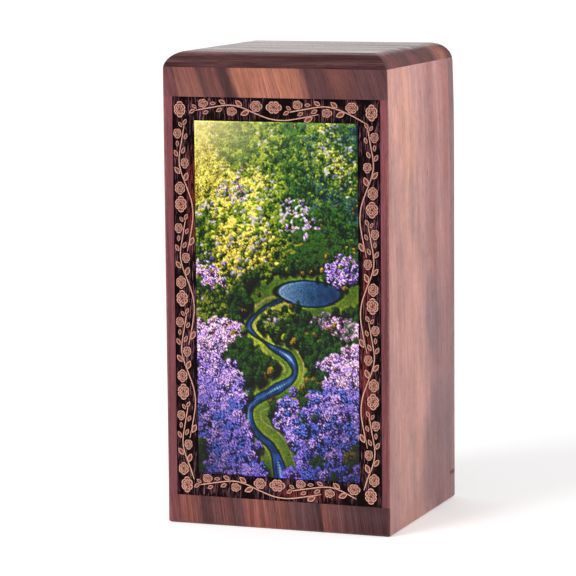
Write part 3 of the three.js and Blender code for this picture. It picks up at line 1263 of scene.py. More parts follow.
@dataclass
class Carving:
    """The roses, leaves and vines that stand in the ground of the border."""

    low: Vector
    high: Vector
    border: Border = Border()
    rim: float = 0.24
    petal_breadth: float = 1.92
    petal_lift: float = 0.04
    bud_rim: float = 0.13
    bud_breadth: float = 0.42
    heart_breadth: float = 0.26
    leaf_rim: float = 0.17
    leaf_breadth: float = 1.34
    rib_width: float = 0.34
    rib_length: float = 0.72
    lip: float = 0.105
    lip_depth: float = 0.05
    sunk: float = 0.25
    petal_sides: int = 12
    vine_steps: int = 56
    shape: Mesh = field(default_factory=bmesh.new)
    part: Mesh = field(default_factory=bmesh.new)
    runs: list[list[tuple[Point, float]]] = field(default_factory=list)

    def plate(
        self, middle: Point, tip: Point, width: float, drop: float, point: float = 0.0,
        swell: float = 0.0, slot: Slot = Slot.HOLLOW, rim: float | None = None,
    ) -> None:
        """Adds one small oval plate, such as a petal, standing in the ground.

        Args:
            middle: The plate's middle on the front, as x and z in millimetres.
            tip: Its end, which gives its length and direction.
            width: Its full width.
            drop: How far its top lies below the panel's face.
            point: How pointed its ends are, from 0 to 1.
            swell: How much wider it is towards its tip.
            slot: The material of its top.
            rim: How wide the dark line round its top is, or None for the usual width.
        """
        rim = self.rim if rim is None else rim
        reach = Vector((tip[0] - middle[0], 0, tip[1] - middle[1]))
        ahead = reach.normalized()
        aside = Vector((-ahead.z, 0, ahead.x))
        verts = bmesh.ops.create_circle(
            self.part, cap_ends=True, segments=self.petal_sides, radius=1.0
        )["verts"]
        for vert in verts:
            share = vert.co.x
            taper = (max(0.0, 1 - share * share)) ** (0.6 * point)
            vert.co.x *= reach.length
            vert.co.y *= width / 2 * taper * (1 + swell * share)
        turn = Matrix((ahead, aside, (0, -1, 0))).transposed().to_4x4()
        place = Vector((middle[0], self.low.y / MM + drop, middle[1]))
        bmesh.ops.transform(self.part, matrix=Matrix.Translation(place) @ turn, verts=verts)
        top = next(f for f in verts[0].link_faces if len(f.verts) == self.petal_sides)
        if top.normal.y > 0:
            top.normal_flip()
        walls = bmesh.ops.extrude_face_region(self.part, geom=[top])
        upper = next(f for f in walls["geom"] if isinstance(f, bmesh.types.BMFace))
        floor = self.border.depth + self.sunk - drop
        lower = [v for v in verts if v.is_valid]
        bmesh.ops.translate(self.part, vec=(0, floor, 0), verts=lower)
        for face in {f for v in upper.verts for f in v.link_faces}:
            face.material_index = Slot.CUT.value
            face.smooth = True
        if rim > 0:
            bmesh.ops.inset_region(
                self.part, faces=[upper], thickness=rim, depth=0.0, use_even_offset=True
            )
            for face in {f for v in upper.verts for f in v.link_faces}:
                face.material_index = Slot.CUT.value
            lip = bmesh.ops.inset_region(
                self.part, faces=[upper], thickness=width * self.lip, depth=-self.lip_depth,
                use_even_offset=True,
            )
            for face in lip["faces"]:
                face.material_index = Slot.PETAL.value
        upper.material_index = slot.value

    def settle(self) -> None:
        """Adds the flower or leaf that was made last to the carving."""
        mesh = bpy.data.meshes.new("part")
        self.part.to_mesh(mesh)
        self.shape.from_mesh(mesh)
        self.part.clear()
        bpy.data.meshes.remove(mesh)

    def flower(self, place: Place, origin: float, stretch: float, rose: Flower) -> None:
        """Adds a rose: a ring of outer petals, a ring of inner ones and a bud.

        Args:
            place: The strip's places.
            origin: Where the module starts along the strip.
            stretch: How much the module is stretched.
            rose: The rose to add.
        """
        start = origin + rose.along * stretch

        def at(turn: float, share: float) -> Point:
            """Gives a place in the rose, by its turn and its share of the way out."""
            return place(
                start + rose.length / 2 * stretch * math.cos(turn) * share,
                rose.inset + rose.width / 2 * math.sin(turn) * share,
            )

        mean = (rose.length + rose.width) / 4
        for count, ring in ((rose.petals, OUTER_RING), (INNER_PETALS, INNER_RING)):
            broad = self.petal_breadth * mean * ring.outer * math.sin(math.pi / count)
            for petal in range(count):
                turn = math.tau * (petal + ring.offset) / count
                middle, tip = at(turn, (ring.inner + ring.outer) / 2), at(turn, ring.outer * 1.04)
                drop = ring.drop - self.petal_lift * (petal % 3)
                self.plate(middle, tip, broad, drop, point=0.3, swell=0.3)
        for petal in range(BUD_PETALS):
            turn = math.tau * (petal + 0.5) / BUD_PETALS
            middle, tip = at(turn, 0.2), at(turn + 0.5, 0.38)
            broad, drop = mean * self.bud_breadth, 0.06 - 0.02 * petal
            self.plate(middle, tip, broad, drop, rim=self.bud_rim)
        broad = mean * self.heart_breadth
        self.plate(at(0, 0), at(0.6, 0.17), broad, 0.01, slot=Slot.CUT, rim=0.0)
        self.settle()

    def leaf(self, place: Place, origin: float, stretch: float, leaf: Leaf) -> None:
        """Adds a leaf with a dark rib down its middle.

        Args:
            place: The strip's places.
            origin: Where the module starts along the strip.
            stretch: How much the module is stretched.
            leaf: The leaf to add.
        """
        base = Vector(place(origin + leaf.base[0] * stretch, leaf.base[1]))
        tip = Vector(place(origin + leaf.tip[0] * stretch, leaf.tip[1]))
        middle, length = (base + tip) / 2, (tip - base).length
        width = length * self.border.leaf_width * self.leaf_breadth
        self.plate(middle, tip, width, 0.12, point=0.85, swell=-0.12, rim=self.leaf_rim)
        rib = middle.lerp(tip, self.rib_length)
        self.plate(middle, rib, self.rib_width, 0.08, point=0.5, slot=Slot.CUT, rim=0.0)
        self.settle()

    def vine(self, place: Place, origin: float, stretch: float, run: Sequence[Point]) -> None:
        """Plans a vine, which is narrower at its two ends.

        Args:
            place: The strip's places.
            origin: Where the module starts along the strip.
            stretch: How much the module is stretched.
            run: The points that the vine runs through, along the strip and in from its edge.
        """
        knots = [Vector((along, inset, 0)) for along, inset in run]
        knots = [knots[0] * 2 - knots[1], *knots, knots[-1] * 2 - knots[-2]]
        spans = len(run) - 1
        path = []
        for i in range(self.vine_steps + 1):
            share = i / self.vine_steps
            span = min(int(share * spans), spans - 1)
            p = curve_point(knots[span:span + 4], share * spans - span)
            thin = min(0.66, 0.4 + 3 * (1 - share), 0.46 + 4 * share)
            path.append((place(origin + p.x * stretch, p.y), thin))
        self.runs.append(path)

    def strip(
        self, place: Place, start: float, length: float, modules: int,
        last: tuple[int, Point], own_rose: bool,
    ) -> None:
        """Adds one strip of the border.

        Args:
            place: The strip's places, from (along, inset) to x and z in millimetres.
            start: Where the first module starts.
            length: How long all the modules are.
            modules: How many there are.
            last: How many points the last vine keeps, and the point that it closes on.
            own_rose: Whether the first module has its own large rose.
        """
        b, (kept, end) = self.border, last
        pitch = length / modules
        stretch = 1 + b.length_kept * (pitch / b.module_length - 1)
        for m in range(modules):
            origin = start + m * pitch
            final = m == modules - 1
            self.vine(place, origin, stretch, (*b.vine[:kept], end) if final else b.vine)
            for leaf in b.leaves if final else (*b.leaves, b.end_leaf):
                self.leaf(place, origin, stretch, leaf)
            for rose in b.roses:
                self.flower(place, origin, stretch, rose)
            if own_rose or m > 0:
                self.flower(place, origin, stretch, b.rose)

    def add_vines(self) -> None:
        """Draws the planned vines as a curve, flattens it and adds its mesh to the carving."""
        curve = bpy.data.curves.new("vines", "CURVE")
        curve.dimensions = "3D"
        curve.bevel_depth = self.border.vine_width / 2
        curve.bevel_resolution = 2
        curve.use_fill_caps = True
        for run in self.runs:
            spline = curve.splines.new("POLY")
            spline.points.add(len(run) - 1)
            for point, ((x, z), thin) in zip(spline.points, run):
                point.co = (x, 0.0, z, 1.0)
                point.radius = thin
        source = add_object("vines", curve)
        bpy.context.view_layer.update()
        mesh = bpy.data.meshes.new_from_object(source)
        before = set(self.shape.verts)
        self.shape.from_mesh(mesh)
        added = [v for v in self.shape.verts if v not in before]
        middle = self.low.y / MM + self.border.depth - 0.05
        for vert in added:
            vert.co.y = middle + vert.co.y * 1.1
        for face in {f for v in added for f in v.link_faces}:
            face.material_index = Slot.PETAL.value
            face.smooth = True
        bpy.data.objects.remove(source)
        bpy.data.curves.remove(curve)
        bpy.data.meshes.remove(mesh)

    def build(self) -> Thing:
        """Builds the whole carving.

        Returns:
            The carving, with the panel's materials still to come.
        """
        b = self.border
        left, right = self.low.x / MM + b.left_margin, self.high.x / MM - b.right_margin
        top, bottom = self.high.z / MM, self.low.z / MM
        sides = top - bottom - 2 * b.side_start + b.slack
        ends = right - left - b.end_start - b.end_overrun

        def on_right(along: float, inset: float) -> Point:
            """Gives a place on the right strip."""
            return right - inset, top - along

        def on_left(along: float, inset: float) -> Point:
            """Gives a place on the left strip."""
            return left + inset - b.left_shift, top - along

        def on_top(along: float, inset: float) -> Point:
            """Gives a place on the top strip."""
            return left + along, top - inset

        def on_bottom(along: float, inset: float) -> Point:
            """Gives a place on the bottom strip."""
            return left + along, bottom + b.width + b.bottom_rise - inset

        corner = Flower(0, b.corner_drop, b.rose.length, b.rose.width, b.rose.petals)
        for place in (on_right, on_left):
            self.strip(place, b.side_start, sides, b.side_modules, b.last_side, True)
            self.flower(place, b.side_start + sides, 1.0, corner)
        for place, last in ((on_top, b.last_top), (on_bottom, b.last_bottom)):
            self.strip(place, b.end_start, ends, b.end_modules, last, False)
        self.add_vines()
        bmesh.ops.recalc_face_normals(self.shape, faces=self.shape.faces)
        bmesh.ops.scale(self.shape, vec=(MM, MM, MM), verts=self.shape.verts)
        return new_object("border_carving", self.shape)


# The printed picture


@dataclass(frozen=True)
class Crown:
    """A kind of treetop or shrub, as the colours of its shaded side, its body and its lit side."""

    shade: Colour
    body: Colour
    lit: Colour
    stipple: float = 0.5
    tall: float = 1.15


class Crowns(Enum):
    """The crowns of the valley, in shares of full brightness."""

    FIR = Crown((0.03, 0.12, 0.08), (0.08, 0.25, 0.12), (0.30, 0.50, 0.16), 0.45, 1.7)
    TEAL = Crown((0.03, 0.14, 0.15), (0.10, 0.30, 0.28), (0.35, 0.52, 0.42), 0.4, 1.5)
    LEAF = Crown((0.07, 0.18, 0.05), (0.25, 0.42, 0.10), (0.62, 0.70, 0.20))
    GOLD = Crown((0.30, 0.33, 0.08), (0.66, 0.64, 0.18), (0.98, 0.93, 0.50))
    OLIVE = Crown((0.12, 0.14, 0.04), (0.42, 0.40, 0.08), (0.74, 0.66, 0.22))
    PINK = Crown((0.30, 0.16, 0.30), (0.72, 0.50, 0.68), (1.0, 0.88, 0.96), 0.85)
    LILAC = Crown((0.16, 0.11, 0.32), (0.52, 0.41, 0.68), (0.92, 0.80, 0.98), 0.85)
    VIOLET = Crown((0.07, 0.07, 0.26), (0.33, 0.29, 0.60), (0.76, 0.68, 0.94), 0.9)
    BLUE = Crown((0.02, 0.05, 0.20), (0.18, 0.24, 0.54), (0.56, 0.62, 0.90), 0.9)
    HAZE = Crown((0.30, 0.36, 0.36), (0.56, 0.58, 0.55), (0.84, 0.82, 0.78), 0.4)


@dataclass(frozen=True)
class Grove:
    """A group of blossoming shrubs: its middle and half size as shares of the picture."""

    across: float
    down: float
    half_width: float
    half_height: float
    kinds: tuple[Crowns, ...]
    density: float = 1.0


def unit(values: Canvas) -> Canvas:
    """Keeps the values of a canvas between 0 and 1."""
    return np.clip(values, 0, 1)


def between(first: object, second: object, share: Canvas) -> Canvas:
    """Blends two colours, or canvases of colours, by a canvas of shares."""
    return first + (np.asarray(second) - first) * share[..., None]


@dataclass
class Painting:
    """The printed picture: a spring valley with a lake and a brook, painted from far to near."""

    low: Vector
    high: Vector
    attribute: str = "painting"
    dot: float = 0.52
    seed: int = 20
    contrast: float = 1.6
    air_contrast: float = 1.05
    crispness: float = 0.9
    brook_steps: int = 12
    open_ground: float = 0.3
    lake: tuple[float, float, float, float] = (0.70, 0.475, 0.21, 0.036)
    brook: tuple[Point, ...] = (
        (0.55, 0.49), (0.40, 0.53), (0.33, 0.575), (0.44, 0.62), (0.58, 0.66), (0.60, 0.71),
        (0.46, 0.755), (0.33, 0.80), (0.34, 0.86), (0.47, 0.92), (0.52, 1.0),
    )
    groves: tuple[Grove, ...] = (
        Grove(0.22, 0.20, 0.16, 0.05, (Crowns.HAZE, Crowns.PINK), 0.5),
        Grove(0.62, 0.27, 0.12, 0.04, (Crowns.HAZE, Crowns.LILAC), 0.5),
        Grove(0.13, 0.43, 0.12, 0.05, (Crowns.PINK, Crowns.LILAC), 0.8),
        Grove(0.90, 0.41, 0.10, 0.03, (Crowns.LILAC, Crowns.VIOLET), 0.8),
        Grove(0.12, 0.60, 0.15, 0.045, (Crowns.PINK, Crowns.LILAC), 0.95),
        Grove(0.86, 0.575, 0.16, 0.04, (Crowns.PINK, Crowns.HAZE), 0.9),
        Grove(0.90, 0.68, 0.15, 0.05, (Crowns.LILAC, Crowns.PINK), 1.0),
        Grove(0.10, 0.72, 0.14, 0.05, (Crowns.LILAC, Crowns.VIOLET), 1.0),
        Grove(0.14, 0.88, 0.22, 0.13, (Crowns.VIOLET, Crowns.LILAC, Crowns.BLUE), 1.0),
        Grove(0.84, 0.86, 0.25, 0.14, (Crowns.LILAC, Crowns.BLUE, Crowns.VIOLET), 1.0),
        Grove(0.93, 0.98, 0.2, 0.07, (Crowns.BLUE, Crowns.VIOLET), 1.0),
    )

    def __post_init__(self) -> None:
        """Lays out the canvas and the noise that breaks up every edge."""
        size = (self.high - self.low) / MM
        self.rows, self.columns = round(size.z / self.dot), round(size.x / self.dot)
        self.height, self.width = size.z, size.x
        self.random = np.random.default_rng(self.seed)
        self.v, self.u = np.mgrid[0:1:self.rows * 1j, 0:1:self.columns * 1j]
        self.speck, self.dapple, self.drift, self.broad = (self.cloud(n) for n in (1, 2, 16, 30))

    def cloud(self, spread: int) -> Canvas:
        """Makes a canvas of soft noise from -1 to 1.

        Args:
            spread: How many dots wide its spots are.

        Returns:
            The noise.
        """
        noise = self.random.standard_normal((self.rows, self.columns))
        for _ in range(2 if spread > 1 else 0):
            for axis in (0, 1):
                total = sum(np.roll(noise, step, axis) for step in range(-spread, spread + 1))
                noise = total / (2 * spread + 1)
        return np.clip(noise / noise.std() / 2, -1, 1)

    def to_brook(self) -> tuple[Canvas, Canvas]:
        """Measures the way to the brook.

        Returns:
            Every dot's distance to the brook in millimetres, and its share of the way down it.
        """
        nearest = np.full(self.u.shape, np.inf)
        course = np.zeros(self.u.shape)
        knots = [Vector((u * self.width, v * self.height, 0)) for u, v in self.brook]
        knots = [knots[0], *knots, knots[-1]]
        steps = (len(self.brook) - 1) * self.brook_steps
        for i in range(steps):
            span, step = divmod(i, self.brook_steps)
            p = curve_point(knots[span:span + 4], step / self.brook_steps)
            gap = np.hypot(self.u * self.width - p.x, self.v * self.height - p.y)
            course = np.where(gap < nearest, i / steps, course)
            nearest = np.minimum(gap, nearest)
        return nearest, course

    def blend(self, canvas: Canvas, mask: Canvas, colour: object) -> None:
        """Lays a colour, or a canvas of colours, over the canvas where the mask is up."""
        canvas[:] = between(canvas, colour, unit(mask))

    def underpaint(self) -> Canvas:
        """Paints the ground: dark woods, the meadow by the water, the brook and the lake.

        Returns:
            The canvas.
        """
        canvas = np.zeros((self.rows, self.columns, 3)) + (0.06, 0.16, 0.08)
        gap, course = self.to_brook()
        gap = gap + self.drift * 2.0
        wide, bank = 5.0 + 11.0 * course, 1.3 + 1.9 * course
        across, down, half_width, half_height = self.lake
        shore = np.hypot((self.u - across) / half_width, (self.v - down) / half_height)
        shore = shore + self.drift * 0.1
        mottle = self.dapple[..., None]
        self.meadow = np.maximum(unit((wide - gap) / 1.5), unit((1.9 - shore) * 4))
        sunny = unit(0.5 + self.drift * 0.8 + (0.5 - self.u) * 0.5)
        grass = between((0.44, 0.60, 0.12) + mottle * 0.05, (0.82, 0.86, 0.30), sunny * 0.8)
        grass = grass - unit(self.speck)[..., None] * (0.16, 0.12, 0.05)
        self.blend(canvas, self.meadow, grass)
        self.blend(canvas, (0.8 - np.abs(gap - wide * 0.62)) * 0.8, (0.86, 0.78, 0.60))
        self.blend(canvas, bank + 0.9 - gap, (0.10, 0.18, 0.12))
        self.blend(canvas, (bank - gap) * 1.2, (0.22, 0.42, 0.60) + mottle * 0.08)
        self.blend(canvas, (bank * 0.3 - gap) * 0.9, (0.66, 0.80, 0.90))
        self.blend(canvas, (1.06 - shore) * 12, (0.08, 0.20, 0.16))
        shine = unit((across - self.u) / half_width * 0.7 + 0.2 + self.speck * 0.15)
        glass = between((0.16, 0.40, 0.56) + mottle * 0.05, (0.74, 0.86, 0.90), shine)
        self.blend(canvas, (0.94 - shore) * 12, glass)
        self.water = np.maximum(unit(bank + 1.2 - gap), (shore < 1.08) * 1.0)
        return canvas

    def kind_at(self, across: float, down: float) -> tuple[Crowns | None, float]:
        """Picks the crown that grows at a place.

        Args:
            across: The place's share of the width.
            down: The place's share of the height.

        Returns:
            The crown, or None where the ground is open, and its share of the usual size.
        """
        row = min(int(down * self.rows), self.rows - 1)
        column = min(int(across * self.columns), self.columns - 1)
        chance = self.random.random()
        if self.water[row, column] > self.open_ground:
            return None, 1.0
        ragged = float(self.drift[row, column]) * 0.75 + float(self.dapple[row, column]) * 0.25
        for grove in self.groves:
            far = math.hypot(
                (across - grove.across) / grove.half_width, (down - grove.down) / grove.half_height
            )
            if far + ragged < 1 and chance < grove.density:
                return grove.kinds[int(self.random.integers(len(grove.kinds)))], 1.0
        if self.meadow[row, column] > self.open_ground:
            if chance > 0.05:
                return None, 1.0
            return (Crowns.LEAF, Crowns.OLIVE, Crowns.FIR)[int(chance * 60) % 3], 0.8
        light = (1 - across) * 0.6 + (0.34 - down) * 1.1 + ragged * 0.6 + (chance - 0.5) * 0.4
        if light > 0.78:
            return Crowns.GOLD, 1.0
        if light > 0.34:
            return (Crowns.LEAF if chance > 0.12 else Crowns.HAZE), 1.0
        if chance > 0.93:
            return Crowns.OLIVE, 1.0
        cool = across + (0.3 - down) * 1.2 + ragged * 0.5
        return (Crowns.TEAL if cool > 0.75 + chance * 0.2 else Crowns.FIR), 1.0

    def crown(self, canvas: Canvas, x: float, y: float, radius: float, kind: Crown) -> None:
        """Paints one crown, lit from the upper left.

        Args:
            canvas: The canvas to paint on.
            x: Its middle, in dots from the left.
            y: Its middle, in dots from the top.
            radius: Its radius in dots.
            kind: Its colours.
        """
        reach = radius * kind.tall
        x0, x1 = max(int(x - radius), 0), min(int(x + radius * 1.6) + 2, self.columns)
        y0, y1 = max(int(y - reach), 0), min(int(y + reach * 1.6) + 2, self.rows)
        if x0 >= x1 or y0 >= y1:
            return
        rows, columns = np.mgrid[y0:y1, x0:x1]
        dx, dy = (columns - x) / radius, (rows - y) / reach
        window = (slice(y0, y1), slice(x0, x1))
        speck, dapple, broad = self.speck[window], self.dapple[window], self.broad[window]
        shadow = unit((1 - np.hypot(dx - 0.4, dy - 0.5)) * 2)
        canvas[window] *= (1 - 0.5 * shadow)[..., None]
        inside = unit((1 - np.hypot(dx, dy) + dapple * 0.3) * 3)
        stipple = kind.stipple * (0.6 + 0.35 * min(1.0, radius / 6))
        light = 0.42 - dx * 0.4 - dy * 0.56 + speck * stipple + dapple * 0.2 + broad * 0.22
        light = unit(light)[..., None]
        shade, body, lit = (np.array(c) for c in (kind.shade, kind.body, kind.lit))
        colour = shade + (body - shade) * unit(light * 2) + (lit - body) * unit(light * 2 - 1)
        canvas[window] += (colour - canvas[window]) * inside[..., None]

    def plant(self, canvas: Canvas) -> None:
        """Plants crowns over the canvas, small ones far up and large ones low down.

        Args:
            canvas: The canvas to paint on.
        """
        draw = self.random
        y = -1.0
        while y < self.rows + 6:
            down = min(max(y / self.rows, 0.0), 1.0)
            radius = 2.2 + 7.0 * down ** 1.4
            x = draw.random() * radius
            while x < self.columns + radius:
                kind, share = self.kind_at(min(max(x / self.columns, 0.0), 0.999), down)
                if kind is not None:
                    size = radius * share * (0.75 + 0.5 * draw.random())
                    level = y + draw.normal() * radius * 0.3
                    self.crown(canvas, x, level, size, kind.value)
                x += radius * (0.9 + 0.5 * draw.random())
            y += radius * 0.62

    def add_air(self, canvas: Canvas) -> None:
        """Adds the haze of the far slopes, the low sun and the darker foot.

        Args:
            canvas: The canvas to paint on.
        """
        sun = np.hypot(self.u * 0.9, self.v * 3.0)
        self.blend(canvas, (0.56 - sun) * 1.5, (1.0, 0.96, 0.74))
        self.blend(canvas, (0.40 - self.v) * 0.8 * (1 - self.u), (1.0, 0.84, 0.36))
        self.blend(canvas, (0.30 - self.v) * 0.7 * self.u, (0.16, 0.38, 0.42))
        foot = unit((self.v - 0.6) / 0.4)
        canvas *= (1 - 0.5 * foot * np.abs(self.u - 0.5) - 0.12 * foot)[..., None]
        canvas[..., :2] *= (1 - 0.14 * foot)[..., None]
        middle = unit(1 - np.abs(self.v - 0.5) * 4)
        canvas *= (1 - 0.1 * middle)[..., None]
        canvas[..., 1] *= 1 - 0.05 * middle

    def paint(self) -> Canvas:
        """Paints the picture.

        Returns:
            Rows of linear colours, from the top left.
        """
        canvas = self.underpaint()
        self.plant(canvas)
        self.add_air(canvas)
        near = sum(np.roll(canvas, (a, b), (0, 1)) for a in (-2, 0, 2) for b in (-2, 0, 2)) / 9
        canvas = canvas + self.crispness * (canvas - near)
        contrast = self.air_contrast + (self.contrast - self.air_contrast) * unit(self.v * 2.5)
        return linear(np.clip(canvas, 0.01, 1) ** contrast[..., None])

    def lay_on(self, piece: Thing) -> None:
        """Writes the picture's colours into the panel's mesh, as one colour a point.

        Args:
            piece: The panel, with its picture field ruled into cells.
        """
        canvas = self.paint()
        places = np.zeros(len(piece.data.vertices) * 3, np.float32)
        piece.data.vertices.foreach_get("co", places)
        places = places.reshape(-1, 3)
        size = self.high - self.low
        column = (places[:, 0] - self.low.x) / size.x * (self.columns - 1)
        row = (self.high.z - places[:, 2]) / size.z * (self.rows - 1)
        column = np.clip(np.rint(column).astype(int), 0, self.columns - 1)
        row = np.clip(np.rint(row).astype(int), 0, self.rows - 1)
        colours = np.ones((len(places), 4), np.float32)
        colours[:, :3] = canvas[row, column]
        layer = piece.data.attributes.new(self.attribute, "FLOAT_COLOR", "POINT")
        layer.data.foreach_set("color", colours.ravel())


@dataclass
class FrontPanel:
    """The engraved and printed board between the two rails."""

    case: Case
    border: Border = Border()
    cell: float = 0.52 * MM
    over: float = 2 * MM
    picture_probe: float = 5 * MM

    def __post_init__(self) -> None:
        """Works out where the engraved field and the picture lie."""
        b = self.border
        self.low, self.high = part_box(PANEL_BOARD.node)
        self.low.x, self.high.x = CAD_LOW.x, CAD_HIGH.x
        self.left = self.low.x + b.left_margin * MM
        self.right = self.high.x - b.right_margin * MM
        self.ground = self.low.y + b.depth * MM
        inset = b.width * MM
        self.picture_low = Vector((self.left + inset, self.low.y, self.low.z + inset))
        self.picture_high = Vector((self.right - inset, self.low.y, self.high.z - inset))

    def sink_ground(self, piece: Thing) -> None:
        """Cuts the ground of the border away round the picture field.

        Args:
            piece: The panel's board.
        """
        over = self.over
        waste = new_object("waste", block(
            (self.left, self.low.y - over, self.low.z - over),
            (self.right, self.ground, self.high.z + over),
        ))
        carve(waste, Cut.OUTSIDE, new_object("kept", block(
            self.picture_low - Vector((0, 2 * over, 0)), self.picture_high + Vector((0, over, 0)),
        )))
        carve(piece, Cut.OUTSIDE, waste)

    def slot_of(self, face: bmesh.types.BMFace) -> Slot:
        """Tells which slot a face of the board belongs to.

        Args:
            face: A face of the board, with its ground sunk.

        Returns:
            Its slot.
        """
        at = face.calc_center_median()
        inside = self.left - MM < at.x < self.right + MM
        floor = abs(face.normal.y) > FACING and abs(at.y - self.ground) < 0.05 * MM
        wall = self.low.y + 0.01 * MM < at.y < self.ground
        if inside and (floor or wall):
            return Slot.GROUND
        off = at.z - (self.low.z + self.high.z) / 2
        central = max(abs(at.x), abs(off)) < self.picture_probe
        front = face.normal.y < -FACING and at.y < self.ground - MM / 2
        return Slot.PICTURE if central and front else Slot.WOOD

    def mark_faces(self, piece: Thing) -> None:
        """Gives the ground and the picture field their own slots, and rules the picture into cells.

        Args:
            piece: The panel's board, with its ground sunk.
        """
        shape = opened(piece)
        for face in shape.faces:
            face.material_index = self.slot_of(face).value
        size = self.picture_high - self.picture_low
        for axis in (Axis.X, Axis.Z):
            cuts = round(size[axis.value] / self.cell) - 1
            faces = [f for f in shape.faces if f.material_index == Slot.PICTURE.value]
            edges = {e for f in faces for e in f.edges if runs_along(e, axis)}
            bmesh.ops.subdivide_edges(shape, edges=list(edges), cuts=cuts, use_grid_fill=True)
        close(piece, shape)

    def build(self) -> None:
        """Builds the panel and its carving, and dresses them."""
        piece = self.case.cut(PANEL_BOARD)
        self.sink_ground(piece)
        join_flats(piece)
        finishes = {
            Slot.WOOD: PANEL_WOOD, Slot.GROUND: GroundFinish(), Slot.PETAL: PETAL_FINISH,
            Slot.CUT: CUT_FINISH, Slot.PICTURE: PrintFinish(), Slot.HOLLOW: HOLLOW_FINISH,
        }
        materials = [finishes[slot].material() for slot in Slot]
        give(piece, *materials)
        self.mark_faces(piece)
        Painting(self.picture_low, self.picture_high).lay_on(piece)
        self.case.ease(piece)
        report(piece)
        carving = Carving(self.low, self.high, self.border).build()
        give(carving, *materials)
        place_on_frame(carving)
        report(carving)


@dataclass
class Base:
    """The base plate in its rebate, and the slotted screws that hold it."""

    head: float = 2.4 * MM
    shank: float = 1.1 * MM
    length: float = 14 * MM
    recess: float = 0.3 * MM
    rim: float = 0.14 * MM
    slot_width: float = 0.7 * MM
    slot_depth: float = 0.5 * MM
    clearance: float = 0.3 * MM
    over: float = 2 * MM
    ease: float = 0.3 * MM
    sides: int = 32
    screws: tuple[str, ...] = (
        "base_screw_front_left", "base_screw_front_right",
        "base_screw_back_left", "base_screw_back_right",
    )

    def turned(self, profile: Sequence[Point], name: str, middle: Vector) -> Thing:
        """Turns a profile of radius and height round an upright line.

        Args:
            profile: The points, from the line at the foot to the line at the tip.
            name: The object's name.
            middle: A point on the line.

        Returns:
            The turned object.
        """
        shape = bmesh.new()
        verts = [shape.verts.new((middle.x + r, middle.y, z)) for r, z in profile]
        edges = [shape.edges.new(pair) for pair in zip(verts, verts[1:])]
        bmesh.ops.spin(
            shape, geom=[*verts, *edges], cent=(middle.x, middle.y, 0), axis=(0, 0, 1),
            angle=math.tau, steps=self.sides, use_merge=True,
        )
        bmesh.ops.remove_doubles(shape, verts=shape.verts, dist=0.001 * MM)
        bmesh.ops.recalc_face_normals(shape, faces=shape.faces)
        return new_object(name, shape)

    def screw(self, node: str) -> Thing:
        """Makes a countersunk screw with a slot in its head.

        Args:
            node: The screw's CAD node.

        Returns:
            The screw.
        """
        middle = sum(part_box(node), Vector()) / 2
        start = self.recess
        profile = (
            (0, start), (self.head * 0.94, start), (self.head, start + self.rim),
            (self.shank, start + self.head - self.shank), (self.shank, self.length - self.shank),
            (0, self.length),
        )
        piece = self.turned(profile, node.replace("base_screw", "slotted_screw"), middle)
        reach = Vector((2 * self.head, self.slot_width / 2, 0))
        low, high = middle - reach, middle + reach
        low.z, high.z = -self.head, start + self.slot_depth
        carve(piece, Cut.OUTSIDE, new_object("slot", block(low, high)))
        return piece

    def plate(self) -> Thing:
        """Makes the base plate with a countersunk hole for every screw.

        Returns:
            The plate.
        """
        low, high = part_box("base_plate")
        piece = new_object("countersunk_base_plate", block(low, high))
        head, shank = self.head + self.clearance, self.shank + self.clearance
        profile = (
            (0, -self.over), (head, -self.over), (head, self.recess),
            (shank, self.recess + head - shank), (shank, high.z + self.over),
            (0, high.z + self.over),
        )
        for node in self.screws:
            middle = sum(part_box(node), Vector()) / 2
            carve(piece, Cut.OUTSIDE, self.turned(profile, "drill", middle))
        return piece

    def build(self) -> None:
        """Builds the plate and its screws, and dresses them."""
        plate = self.plate()
        give(plate, BASE_WOOD.material())
        bevel_edges(plate, self.ease)
        place_on_frame(plate, "base_plate")
        report(plate)
        brass = BrassFinish().material()
        for node in self.screws:
            screw = self.screw(node)
            give(screw, brass)
            place_on_frame(screw, node)
            report(screw)


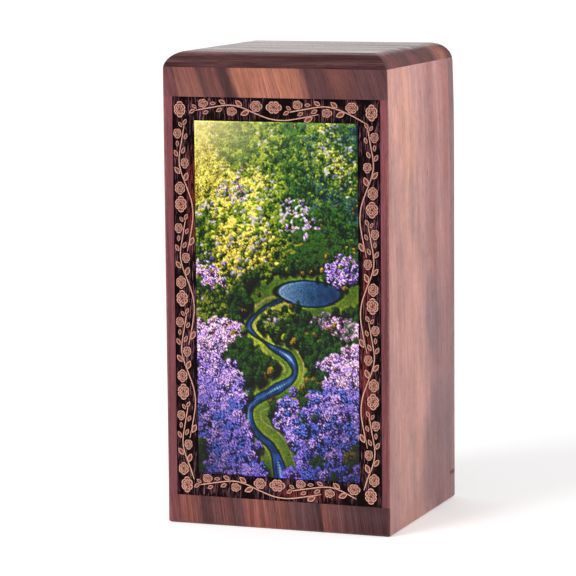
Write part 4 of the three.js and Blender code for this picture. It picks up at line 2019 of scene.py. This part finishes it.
@dataclass
class Studio:
    """The pale floor, the soft lights and the camera at the photograph's angle."""

    floor_half: float = 1.0
    floor_glow: float = 0.2
    fade_start: float = 0.3
    fade_end: float = 0.85
    floor_colour: Colour = (0.95, 0.95, 0.95)
    floor_tint: Colour = (0.97, 0.97, 0.97)
    front_light: float = 0.3
    room_light: float = 1.0
    seen_light: float = 1.1
    light_size: float = 1.2
    key_place: tuple[float, float, float] = (-1.0, -1.6, 1.5)
    key_power: float = 36.0
    fill_place: tuple[float, float, float] = (2.0, -0.6, 0.9)
    fill_power: float = 18.0
    lens: float = 190.08
    sensor: float = 36.0
    camera_place: tuple[float, float, float] = (0.63434, -1.73192, 0.38792)
    yaw: float = 20.588
    pitch: float = -7.720
    roll: float = 0.5195

    def lay_floor(self) -> None:
        """Lays the floor that the urn stands on, which fades out round it."""
        shape = bmesh.new()
        bmesh.ops.create_grid(shape, x_segments=4, y_segments=4, size=self.floor_half)
        bmesh.ops.translate(shape, vec=(0, 0, CAD_LOW.z), verts=shape.verts)
        floor = new_object("floor", shape)
        surface = Surface("pale_floor")
        g, place = surface.g, surface.place
        pale = g.mix(g.noise(place, 0.004, 2.0), self.floor_colour, self.floor_tint)
        away = g.value("VectorMath", place, operation="LENGTH", out="Value")
        fade = g.step(away, self.fade_start / MM, self.fade_end / MM)
        surface.set(
            Base_Color=pale, Alpha=1.0 - fade, Emission_Color=WHITE, Roughness=0.9,
            Emission_Strength=self.floor_glow, Specular_IOR_Level=0.1,
        )
        give(floor, surface.material)

    def light(self, name: str, place: Sequence[float], power: float) -> None:
        """Hangs a square soft light that faces the middle of the urn.

        Args:
            name: The light's name.
            place: Where it hangs.
            power: Its power in watts.
        """
        data = bpy.data.lights.new(name, "AREA")
        data.shape = "SQUARE"
        data.size = self.light_size
        data.energy = power
        lamp = add_object(name, data)
        lamp.location = place
        aim = Vector((0, 0, CAD_HIGH.z / 2)) - Vector(place)
        lamp.rotation_euler = aim.to_track_quat("-Z", "Y").to_euler()

    def light_room(self) -> None:
        """Makes the white room, brighter behind the urn than in front, and hangs the lights."""
        world = bpy.data.worlds.new("white_room")
        world.use_nodes = True
        bpy.context.scene.world = world
        bpy.context.scene.view_settings.view_transform = "Standard"
        g = Graph(world.node_tree)
        _, back, up = g.split(g.value("TexCoord", out="Generated"))
        lit = g.sums("MAXIMUM", g.step(back, 0.0, 0.6), g.step(up, 0.3, 0.8) * 0.3)
        strength = lit * (self.room_light - self.front_light) + self.front_light
        room = g.value("Background", WHITE, strength)
        seen = g.value("Background", WHITE, self.seen_light)
        by_camera = g.value("LightPath", out="Is Camera Ray")
        g.add("OutputWorld", g.value("MixShader", by_camera, room, seen))
        self.light("key", self.key_place, self.key_power)
        self.light("right_fill", self.fill_place, self.fill_power)

    def set_camera(self) -> None:
        """Puts the camera where the photograph was taken from."""
        data = bpy.data.cameras.new("camera")
        data.lens = self.lens
        data.sensor_width = self.sensor
        data.clip_start, data.clip_end = 0.05, 50.0
        camera = add_object("camera", data)
        place = Matrix.Translation(self.camera_place)
        for angle, axis in ((self.yaw, "Z"), (self.pitch, "X"), (self.roll, "Y"), (90, "X")):
            place = place @ Matrix.Rotation(math.radians(angle), 4, axis)
        camera.matrix_world = place
        bpy.context.scene.camera = camera

    def build(self) -> None:
        """Sets up the whole studio."""
        self.lay_floor()
        self.light_room()
        self.set_camera()


def main() -> None:
    """Builds the urn and its studio."""
    logging.basicConfig(level=logging.INFO, format="%(name)s: %(message)s")
    case = Case()
    case.build()
    FrontPanel(case).build()
    Base().build()
    scrap(case.blank)
    Studio().build()


if __name__ == "__main__":
    main()
